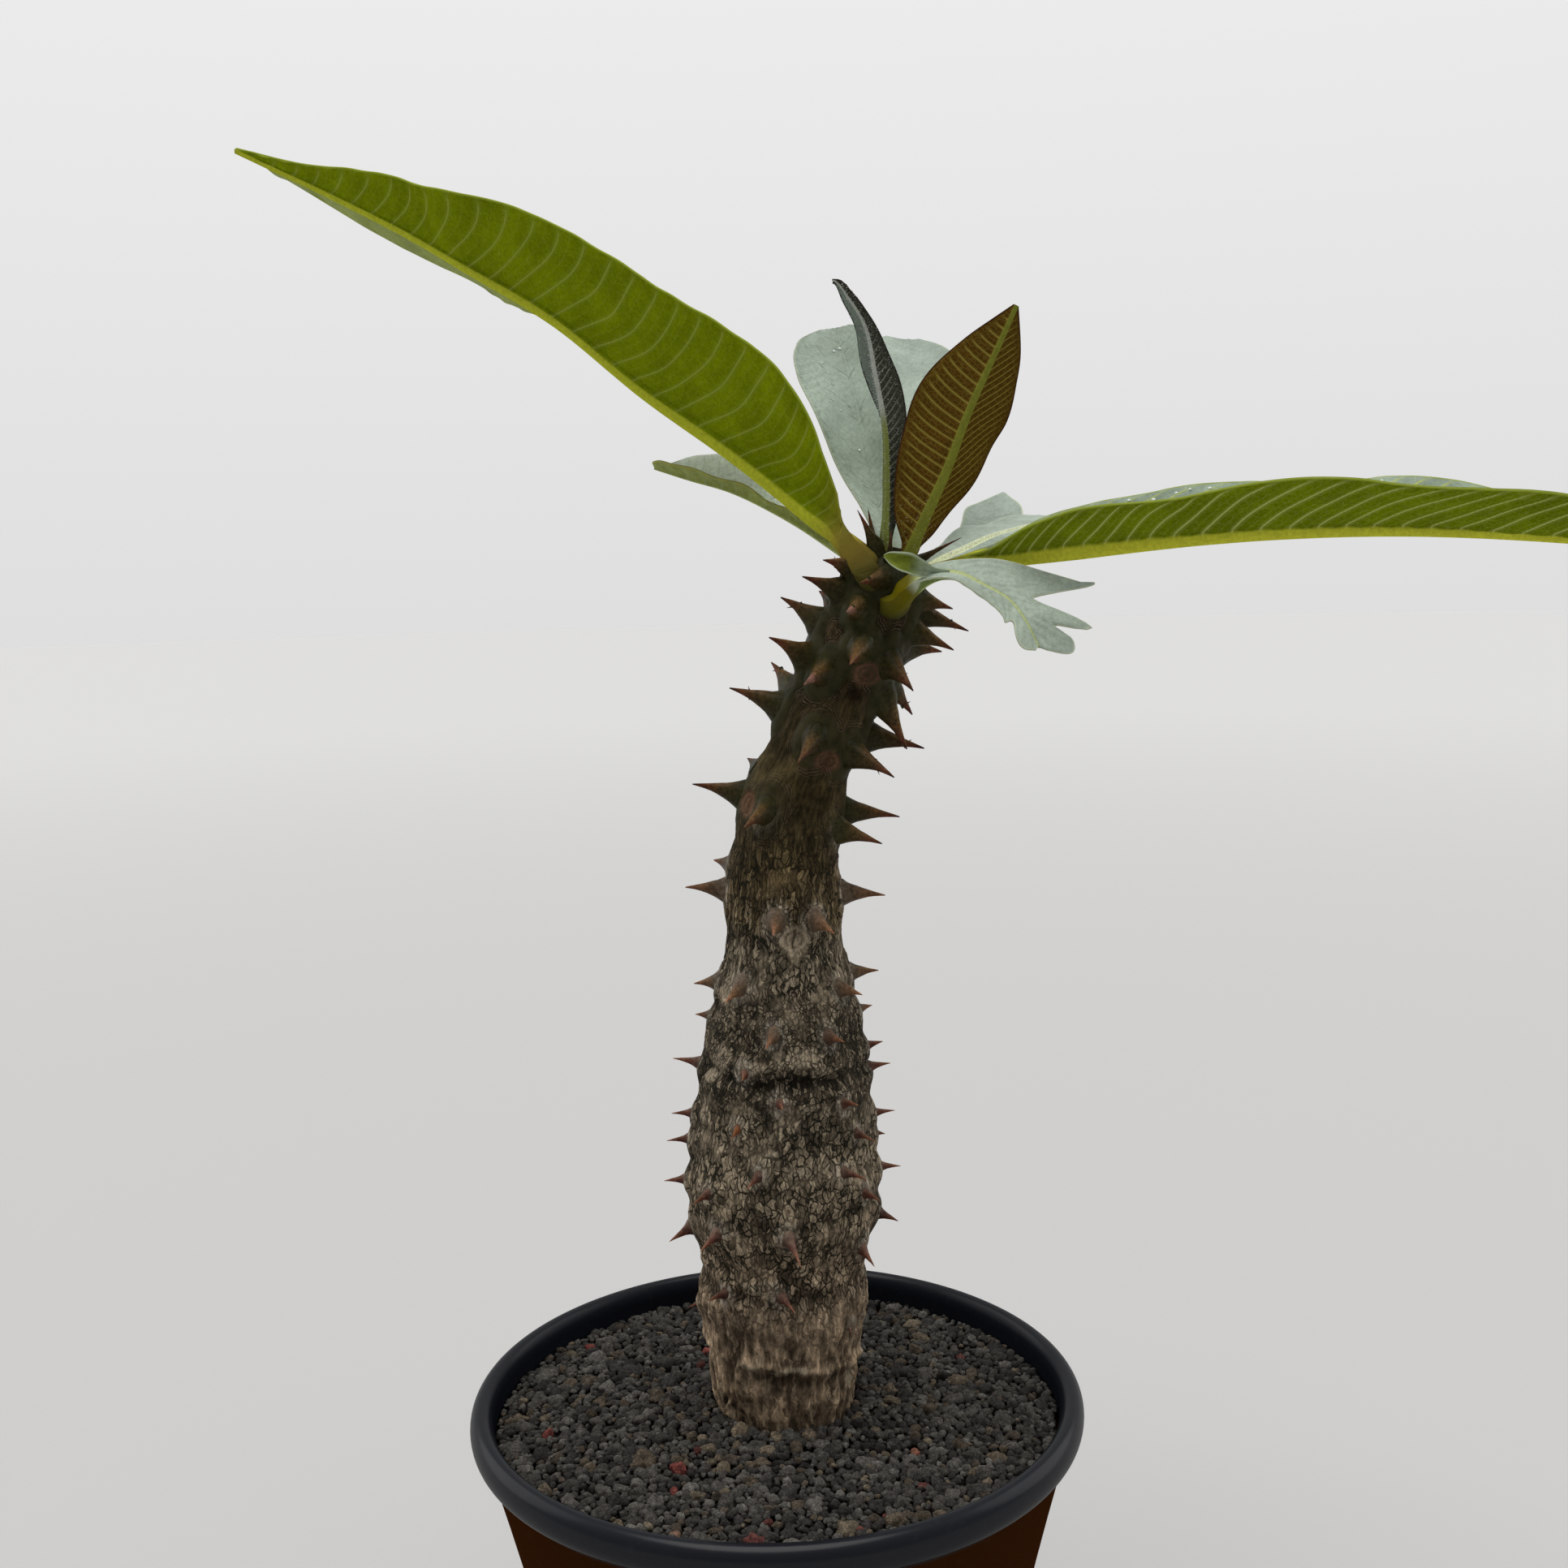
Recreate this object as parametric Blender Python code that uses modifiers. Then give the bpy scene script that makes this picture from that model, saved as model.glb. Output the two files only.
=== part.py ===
"""A potted Pachypodium baronii: a spined, swollen stem with a crown of leaves, in a black pot of gravel.

Sizes are in millimetres, +Z is up, the pot's axis lies on Z and its underside at z = 0. The plant is
seen from -Y. An azimuth is in degrees round the stem: 0 faces -Y and 90 faces +X. A leaf's left and
right are those of someone who looks from its foot to its tip with its upper face up.
"""

import math
import random

import bmesh
import bpy
import numpy as np

MM = 0.001
GAP = 0.3

# Pot: a black pot with a rolled rim, flared above a narrower foot.
POT_HEIGHT = 100.0
RIM_RADIUS = 60.0
RIM_WIDTH = 4.6
RIM_DEPTH = 6.8
NECK_RADIUS = 57.2
BASE_RADIUS = 40.0
FLARE = 1.5
WALL = 1.7
FLOOR = 3.0
WALL_HEIGHTS = (20.0, 50.0, 78.0, 90.0)
POT_SIDES = 40
DRAIN_HOLES = 5
DRAIN_RADIUS = 4.0
DRAIN_CIRCLE = 24.0

# Soil: lava gravel, its level some 5 mm under the rim.
SOIL_LEVEL = 94.4
GRAIN_RELIEF = 0.8
SOIL_RINGS = 9

# Stem: x, z and radius along its axis, which leans to the right above z = 205.
STEM_Y = 3.0
STEM = (
    (1.5, 66.0, 8.0),
    (1.5, 80.0, 12.0),
    (1.7, 94.0, 13.2),
    (1.5, 101.0, 14.3),
    (1.5, 111.0, 15.4),
    (1.7, 117.5, 16.6),
    (1.8, 124.0, 16.0),
    (2.2, 137.0, 18.4),
    (2.4, 150.0, 17.7),
    (3.0, 162.0, 16.2),
    (3.4, 173.0, 14.2),
    (3.4, 183.0, 12.0),
    (3.5, 191.0, 11.0),
    (4.2, 204.0, 10.2),
    (6.0, 215.0, 9.2),
    (9.0, 223.0, 8.2),
    (12.6, 232.0, 8.0),
    (16.5, 240.0, 8.0),
    (20.5, 248.0, 8.0),
    (23.2, 256.0, 7.4),
    (24.4, 260.5, 6.2),
    (25.0, 263.5, 3.6),
)
STEM_RINGS = 32
STEM_SIDES = 20

# Spines in view, from the crown down, in pairs over the leaf scars: distance along the stem's axis,
# azimuth, length, and how far the point leans to a larger azimuth and down, as shares of the way out.
SPINES = (
    (195.5, -58, 8.0, 0.20, -0.05), (195.0, 2, 8.5, -0.65, 0.20), (193.0, 80, 7.0, 0.20, -0.05),
    (190.5, -59, 9.7, 0.05, -0.10), (190.5, 95, 11.0, 0.00, 0.00), (188.5, -22, 8.5, 0.10, 0.10),
    (188.0, -112, 4.5, -0.30, -0.30), (187.5, 80, 9.0, 0.00, 0.05), (184.5, 98, 8.0, 0.15, -0.30),
    (182.5, -90, 9.5, -0.20, -0.15), (181.5, 0, 10.0, -0.10, 0.30), (181.5, 45, 11.0, -0.20, 0.20),
    (180.0, -115, 7.0, -0.60, -0.50), (178.0, 98, 9.0, 0.30, 0.40), (175.5, -73, 11.0, 0.40, -0.10),
    (175.0, -32, 11.0, 0.30, 0.30), (175.0, 75, 11.0, 0.05, 0.70), (168.5, -108, 9.0, -0.50, -0.45),
    (166.0, 88, 12.0, 0.00, -0.20), (165.5, -90, 11.0, -0.10, 0.00), (163.0, -5, 11.0, -0.10, 0.40),
    (162.5, 49, 12.0, 0.00, 0.05), (152.5, -112, 7.0, -0.90, -0.20), (150.0, 92, 11.5, 0.00, -0.20),
    (148.5, -90, 10.5, -0.10, 0.00), (148.0, -32, 11.0, 0.20, 0.25), (146.0, 65, 9.5, 0.10, 0.05),
    (136.0, -102, 5.0, -0.50, -0.10), (132.0, -88, 8.5, -0.10, -0.05), (132.0, 88, 9.0, 0.00, 0.00),
    (128.5, 31, 9.0, -0.10, 0.10), (128.5, -7, 9.0, 0.05, 0.10), (116.0, -40, 7.5, 0.25, 0.20),
    (115.5, 92, 6.2, 0.10, -0.05), (114.5, -90, 5.2, -0.20, 0.05), (114.5, 53, 7.0, -0.20, 0.00),
    (108.0, 95, 3.5, 0.30, -0.20), (107.5, -8, 7.0, -0.10, 0.10), (107.0, -98, 4.0, -0.30, 0.00),
    (106.5, 33, 7.0, -0.10, -0.10), (101.5, 88, 4.0, 0.10, -0.30), (100.0, -29, 5.0, 0.40, 0.00),
    (97.5, 88, 4.8, 0.10, -0.20), (97.5, -90, 6.0, -0.10, -0.15), (95.0, -4, 5.5, 0.20, -0.10),
    (94.0, 41, 6.0, -0.20, -0.25), (89.5, -30, 5.5, 0.30, 0.05), (88.5, 88, 4.7, 0.10, -0.15),
    (88.0, 51, 6.0, -0.20, 0.00), (87.5, -90, 4.6, -0.10, 0.05), (84.0, 92, 2.5, 0.10, 0.10),
    (83.0, -88, 5.0, -0.10, 0.10), (81.5, -14, 6.5, -0.10, 0.05), (81.0, 37, 7.0, 0.10, -0.05),
    (77.0, 88, 4.8, 0.10, 0.00), (76.5, -49, 6.0, 0.30, 0.05), (75.5, 56, 5.5, -0.40, 0.00),
    (75.0, -88, 5.0, -0.10, 0.05), (70.0, 2, 8.0, 0.30, 0.40), (69.0, -42, 6.5, 0.15, 0.25),
    (69.0, 83, 4.8, 0.00, 0.35), (66.0, -83, 5.8, 0.10, 0.55), (65.0, 59, 5.5, -0.45, 0.55),
    (57.5, -3, 7.0, 0.50, 0.10), (56.5, -41, 5.5, 0.00, -0.05), (50.0, -83, 2.5, 0.00, 0.30),
    (49.5, 51, 2.2, -0.60, 0.45),
)
# The back, out of view, repeats the spines within this azimuth of the front.
REPEATED_TO = 70
CROWN_SPINES = (
    ((22.6, -1.0, 262.6), (19.0, -4.2, 270.2), 2.0),
    ((22.6, 6.6, 262.0), (21.6, 8.6, 270.8), 1.7),
    ((24.6, -2.8, 260.6), (24.9, -8.0, 266.6), 1.3),
    ((28.2, 0.4, 259.6), (38.2, -3.4, 264.8), 1.6),
)
# A spine's foot radius by its place along the stem; it is higher than wide, and bows up by a share.
SPINE_FEET = ((44, 0.9), (50, 1.1), (57, 1.8), (66, 2.3), (75, 1.8), (82, 1.6), (90, 1.5), (98, 1.8),
              (107, 2.1), (115, 2.6), (128, 3.0), (148, 3.3), (165, 3.7), (182, 3.8), (196, 3.0))
FOOT_WIDTH = 0.82
FOOT_HEIGHT = 1.1
SPINE_BOW = 0.14
CROWN_BOW = (0.5, 0.5, 0.7)
SPINE_SINK = 0.6
LARGE_SPINE = 2.5
LARGE_STATIONS = ((-0.28, 1.25), (0.06, 0.9), (0.26, 0.54), (0.52, 0.29), (0.8, 0.13))
SMALL_STATIONS = ((-0.3, 1.2), (0.12, 0.82), (0.36, 0.42), (0.68, 0.19))

# Leaves
BLADE = 0.75
COLUMNS = (0.0, 0.3, 0.62, 1.0)
PETIOLE = 0.1

COLOURS = {
    "pot": (0.012, 0.014, 0.018),
    "soil": (0.045, 0.040, 0.038),
    "caudex": (0.115, 0.090, 0.070),
    "green": (0.110, 0.200, 0.020),
    "grey_green": (0.300, 0.400, 0.360),
    "bronze": (0.085, 0.045, 0.018),
    "dark_green": (0.060, 0.080, 0.060),
}


def clear_scene():
    """Starts from an empty scene."""
    for thing in list(bpy.data.objects):
        bpy.data.objects.remove(thing, do_unlink=True)


def make_collection(name):
    """A collection linked to the scene."""
    group = bpy.data.collections.new(name)
    bpy.context.scene.collection.children.link(group)
    return group


def make_material(name, colour, roughness):
    """A plain Principled material."""
    made = bpy.data.materials.new(name)
    made.use_nodes = True
    shader = made.node_tree.nodes["Principled BSDF"]
    shader.inputs["Base Color"].default_value = (*colour, 1.0)
    shader.inputs["Roughness"].default_value = roughness
    shader.inputs["Metallic"].default_value = 0.0
    made.diffuse_color = (*colour, 1.0)
    return made


def object_from(shape, name, group, material=None, sharp=40):
    """An object from a bmesh in millimetres, shaded smooth."""
    bmesh.ops.recalc_face_normals(shape, faces=shape.faces)
    bmesh.ops.scale(shape, vec=(MM, MM, MM), verts=shape.verts)
    mesh = bpy.data.meshes.new(name)
    shape.to_mesh(mesh)
    shape.free()
    mesh.shade_smooth()
    mesh.set_sharp_from_angle(angle=math.radians(sharp))
    if material:
        mesh.materials.append(material)
    made = bpy.data.objects.new(name, mesh)
    group.objects.link(made)
    return made


def hide_helper(thing):
    """Marks a cutter, which isn't part of the model."""
    thing.hide_render = True
    thing.display_type = "WIRE"


def cut(target, cutter):
    """Takes a cutter's shape out of an object."""
    step = target.modifiers.new("cut_" + cutter.name, "BOOLEAN")
    step.operation = "DIFFERENCE"
    step.solver = "EXACT"
    step.object = cutter


def apply_modifiers(thing):
    """Replaces an object's mesh by its evaluated mesh."""
    depsgraph = bpy.context.evaluated_depsgraph_get()
    mesh = bpy.data.meshes.new_from_object(thing.evaluated_get(depsgraph))
    thing.modifiers.clear()
    thing.data = mesh


def through(stations, at):
    """A smooth curve through stations whose first number is the position, read at the given positions."""
    stations = np.asarray(stations, float)
    knots, values = stations[:, 0], stations[:, 1:]
    slopes = np.gradient(values, knots, axis=0)
    at = np.clip(np.atleast_1d(np.asarray(at, float)), knots[0], knots[-1])
    i = np.clip(np.searchsorted(knots, at) - 1, 0, len(knots) - 2)
    span = (knots[i + 1] - knots[i])[:, None]
    t = (at[:, None] - knots[i][:, None]) / span
    rise = (3 - 2 * t) * t * t
    return (
        values[i] * (1 - rise)
        + values[i + 1] * rise
        + span * slopes[i] * t * (1 - t) ** 2
        - span * slopes[i + 1] * t * t * (1 - t)
    )


def between(stations, at):
    """Straight interpolation of stations whose first number is the position."""
    stations = np.asarray(stations, float)
    return np.interp(at, stations[:, 0], stations[:, 1])


def by_length(points):
    """The points with their distance along the line in front."""
    points = np.asarray(points, float)
    steps = np.linalg.norm(np.diff(points, axis=0), axis=1)
    return np.column_stack([np.concatenate([[0.0], np.cumsum(steps)]), points])


def unit(vectors):
    """Vectors of length 1."""
    return vectors / np.linalg.norm(vectors, axis=-1, keepdims=True)


# Pot


def body_radius(z):
    """The outer radius of the pot's body at a height."""
    return BASE_RADIUS + (NECK_RADIUS - BASE_RADIUS) * (z / (POT_HEIGHT - RIM_DEPTH)) ** FLARE


def inner_radius(z):
    """The inner radius of the pot at a height."""
    return min(body_radius(z) - WALL, RIM_RADIUS - RIM_WIDTH)


def pot_profile():
    """Half the pot's section, from the floor's centre over the rim to the underside's centre."""
    inside = [(0.0, FLOOR), (inner_radius(FLOOR) - 2.0, FLOOR), (inner_radius(FLOOR), FLOOR + 2.0)]
    inside += [(inner_radius(z), z) for z in WALL_HEIGHTS]
    centre_r, centre_z = RIM_RADIUS - RIM_WIDTH / 2, POT_HEIGHT - RIM_DEPTH / 2
    rim = []
    for degrees in range(180, -91, -30):
        turn = math.radians(degrees)
        rim.append((centre_r + RIM_WIDTH / 2 * math.cos(turn), centre_z + RIM_DEPTH / 2 * math.sin(turn)))
    outside = [(body_radius(z), z) for z in reversed(WALL_HEIGHTS)]
    foot = [(BASE_RADIUS, 1.5), (BASE_RADIUS - 1.5, 0.0), (0.0, 0.0)]
    return inside + rim + outside + foot


def make_pot(group, helpers):
    """The pot: a turned profile with drain holes."""
    shape = bmesh.new()
    corners = [shape.verts.new((r, 0.0, z)) for r, z in pot_profile()]
    for first, second in zip(corners, corners[1:]):
        shape.edges.new((first, second))
    pot = object_from(shape, "pot", group, make_material("pot", COLOURS["pot"], 0.42))
    turn = pot.modifiers.new("turn", "SCREW")
    turn.steps = turn.render_steps = POT_SIDES
    turn.use_merge_vertices = True
    turn.merge_threshold = 0.0001
    turn.use_smooth_shade = True
    shape = bmesh.new()
    for k in range(DRAIN_HOLES):
        turned = 2 * math.pi * k / DRAIN_HOLES
        made = bmesh.ops.create_cone(
            shape, cap_ends=True, segments=14, radius1=DRAIN_RADIUS, radius2=DRAIN_RADIUS, depth=4 * FLOOR
        )
        place = (DRAIN_CIRCLE * math.cos(turned), DRAIN_CIRCLE * math.sin(turned), 0.0)
        bmesh.ops.translate(shape, vec=place, verts=made["verts"])
    holes = object_from(shape, "drain_cutter", helpers)
    hide_helper(holes)
    cut(pot, holes)
    return pot


# Soil


def make_soil(group):
    """The gravel that fills the pot, its top in a relief of rounded grains."""
    draw = random.Random(11)
    wall_top = (POT_HEIGHT - RIM_DEPTH / 2, RIM_RADIUS - RIM_WIDTH)
    outer = between(((WALL_HEIGHTS[-1], inner_radius(WALL_HEIGHTS[-1])), wall_top), SOIL_LEVEL) - GAP
    shape = bmesh.new()
    rings = []
    for i in range(1, SOIL_RINGS + 1):
        ring = []
        for k in range(POT_SIDES):
            at_wall = i == SOIL_RINGS
            step = k + (0 if at_wall else draw.uniform(-0.3, 0.3) + 0.5 * (i % 2))
            turned = 2 * math.pi * step / POT_SIDES
            r = outer * i / SOIL_RINGS + (0 if at_wall else draw.uniform(-0.9, 0.9))
            z = SOIL_LEVEL + draw.uniform(-GRAIN_RELIEF, GRAIN_RELIEF)
            ring.append(shape.verts.new((r * math.cos(turned), r * math.sin(turned), z)))
        rings.append(ring)
    for z in reversed(WALL_HEIGHTS):
        rings.append(soil_ring(shape, inner_radius(z) - GAP, z))
    rings.append(soil_ring(shape, inner_radius(FLOOR) - GAP, FLOOR + GAP + 2.0))
    rings.append(soil_ring(shape, inner_radius(FLOOR) - 2.0 - GAP, FLOOR + GAP))
    for upper, lower in zip(rings, rings[1:]):
        for k in range(POT_SIDES):
            n = (k + 1) % POT_SIDES
            shape.faces.new((upper[k], lower[k], lower[n]))
            shape.faces.new((upper[k], lower[n], upper[n]))
    shape.faces.new(rings[0])
    shape.faces.new(rings[-1][::-1])
    return object_from(shape, "soil", group, make_material("soil", COLOURS["soil"], 0.95), sharp=25)


def soil_ring(shape, r, z):
    """A level ring of the soil's side."""
    turns = [2 * math.pi * k / POT_SIDES for k in range(POT_SIDES)]
    return [shape.verts.new((r * math.cos(a), r * math.sin(a), z)) for a in turns]


# Stem and spines


class Axis:
    """The stem's axis by distance from its root end, with its radius and directions."""

    def __init__(self):
        bent = [(x, STEM_Y, z, r) for x, z, r in STEM]
        steps = [math.hypot(b[0] - a[0], b[2] - a[2]) for a, b in zip(bent, bent[1:])]
        along = np.concatenate([[0.0], np.cumsum(steps)])
        self.stations = np.column_stack([along, bent])
        self.length = along[-1]

    def at(self, s):
        """Centre, tangent, direction to the right and radius at a distance."""
        near = through(self.stations, [s - 0.5, s, s + 0.5])
        tangent = unit(near[2, :3] - near[0, :3])
        right = np.array([tangent[2], 0.0, -tangent[0]])
        return near[1, :3], tangent, right, near[1, 3]

    def outward(self, s, azimuth):
        """The direction out of the stem at an azimuth."""
        turned = math.radians(azimuth)
        right = self.at(s)[2]
        return math.sin(turned) * right + math.cos(turned) * np.array([0.0, -1.0, 0.0])


def stem_body(axis, grow):
    """The stem without its spines."""
    shape = bmesh.new()
    rings = []
    for s in np.linspace(0.0, axis.length, STEM_RINGS):
        centre, tangent, _, radius = axis.at(s)
        centre = centre + tangent * grow * (2 * s / axis.length - 1)
        ring = []
        for k in range(STEM_SIDES):
            out = axis.outward(s, 360.0 * k / STEM_SIDES)
            ring.append(shape.verts.new(centre + out * (radius + grow)))
        rings.append(ring)
    for lower, upper in zip(rings, rings[1:]):
        for k in range(STEM_SIDES):
            n = (k + 1) % STEM_SIDES
            shape.faces.new((lower[k], lower[n], upper[n], upper[k]))
    shape.faces.new(rings[0])
    shape.faces.new(rings[-1])
    return shape


def spine(foot, tip, bow, radius, grow):
    """One spine: a broad foot, then a slender point, bowed along its way."""
    shape = bmesh.new()
    run = tip - foot
    ahead = unit(run)
    side = unit(np.cross(ahead, bow))
    upward = np.cross(side, ahead)
    large = radius > LARGE_SPINE
    sides = 6 if large else 5
    rings = []
    for share, width in LARGE_STATIONS if large else SMALL_STATIONS:
        centre = foot + run * share + bow * max(share, 0.0) * (1 - share)
        across = FOOT_WIDTH * side * (radius * width + grow)
        along = FOOT_HEIGHT * upward * (radius * width + grow)
        turns = [2 * math.pi * k / sides for k in range(sides)]
        rings.append([shape.verts.new(centre + math.cos(a) * across + math.sin(a) * along) for a in turns])
    point = shape.verts.new(tip + ahead * 2 * grow)
    for lower, upper in zip(rings, rings[1:]):
        for k in range(sides):
            n = (k + 1) % sides
            shape.faces.new((lower[k], lower[n], upper[n], upper[k]))
    for k in range(sides):
        shape.faces.new((rings[-1][k], rings[-1][(k + 1) % sides], point))
    shape.faces.new(rings[0])
    return shape


def spine_rows(axis):
    """The spines in view, then those of the back, no further round than hides them from the front."""
    draw = random.Random(5)
    back = []
    for s, azimuth, length, across, down in SPINES:
        if abs(azimuth) < REPEATED_TO:
            stem_radius = axis.at(s)[3]
            limit = math.degrees(math.asin(stem_radius / (stem_radius + length)))
            turned = 180 + limit * azimuth / REPEATED_TO
            back.append((s + draw.uniform(-3, 3), turned, length * draw.uniform(0.9, 1.1), across, down))
    return SPINES + tuple(back)


def spine_places(axis):
    """Foot, tip, bow and foot radius of every spine."""
    places = []
    for s, azimuth, length, across, down in spine_rows(axis):
        centre, tangent, _, stem_radius = axis.at(s)
        out = axis.outward(s, azimuth)
        lean = across * axis.outward(s, azimuth + 90) - down * tangent
        foot = centre + out * (stem_radius - SPINE_SINK)
        tip = foot + unit(out + lean) * (length + SPINE_SINK)
        places.append((foot, tip, tangent * SPINE_BOW * length, between(SPINE_FEET, s)))
    for foot, tip, radius in CROWN_SPINES:
        places.append((np.array(foot), np.array(tip), np.array(CROWN_BOW), radius))
    return places


def make_caudex(name, group, material, grow):
    """The stem joined with its spines, larger all round by grow."""
    axis = Axis()
    stem = object_from(stem_body(axis, grow), name, group, material)
    points = make_collection(name + "_spines")
    for number, (foot, tip, bow, radius) in enumerate(spine_places(axis)):
        object_from(spine(foot, tip, bow, radius, grow), f"{name}_spine_{number}", points)
    join = stem.modifiers.new("spines", "BOOLEAN")
    join.operation = "UNION"
    join.solver = "MANIFOLD"
    join.operand_type = "COLLECTION"
    join.collection = points
    apply_modifiers(stem)
    for thing in list(points.objects):
        bpy.data.objects.remove(thing, do_unlink=True)
    bpy.data.collections.remove(points)
    return stem


# Leaves

# Half widths of a blade's half along its midrib.
NEAR_LONG_HALF = ((0, 2.4), (0.07, 2.1), (0.1, 8), (0.15, 18), (0.21, 23), (0.28, 24.6), (0.36, 23.8),
                  (0.48, 21.6), (0.57, 19), (0.66, 15.6), (0.75, 12), (0.82, 8.6), (0.9, 4.2), (1, 0.5))
FAR_LONG_HALF = ((0, 2.4), (0.07, 2.1), (0.1, 5.5), (0.15, 13.5), (0.21, 18), (0.28, 20.4), (0.36, 20.2),
                 (0.48, 18.8), (0.57, 17), (0.66, 15), (0.75, 12), (0.82, 9), (0.9, 4.6), (1, 0.5))
ARCHED_HALF = ((0, 1.9), (0.1, 1.7), (0.14, 4), (0.2, 10), (0.25, 12.6), (0.32, 14.6), (0.4, 16.4),
               (0.5, 17.8), (0.65, 17.2), (0.8, 13), (0.92, 6.5), (1, 0.5))
PLAIN_HALF = ((0, 1.4), (0.1, 1.4), (0.2, 4.5), (0.4, 9.5), (0.6, 11.2), (0.8, 8.6), (0.93, 4), (1, 0.5))
BLUNT_HALF = ((0, 1.2), (0.12, 1.4), (0.25, 3), (0.4, 5.4), (0.55, 7.2), (0.7, 8.8), (0.83, 9.8),
              (0.92, 9.2), (0.97, 7), (1, 3.5))
FOLDED_HALF = ((0, 1.1), (0.12, 1.1), (0.25, 3.6), (0.5, 6), (0.7, 5.4), (0.85, 3.6), (0.95, 1.5), (1, 0.5))
BROAD_HALF = ((0, 1.4), (0.1, 1.4), (0.22, 3), (0.4, 6), (0.6, 9.6), (0.8, 11.5), (0.93, 8.2), (1, 2.5))
LATE_HALF = ((0, 1.4), (0.1, 1.2), (0.4, 2.6), (0.6, 5.4), (0.78, 9.8), (0.9, 10.2), (0.97, 6), (1, 2.5))

# A midrib's radius along a large and a small leaf.
LARGE_RIB = ((0, 1.6), (0.15, 1.4), (0.5, 1), (1, 0.4))
SMALL_RIB = ((0, 1.2), (0.2, 1), (0.6, 0.7), (1, 0.4))

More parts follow.
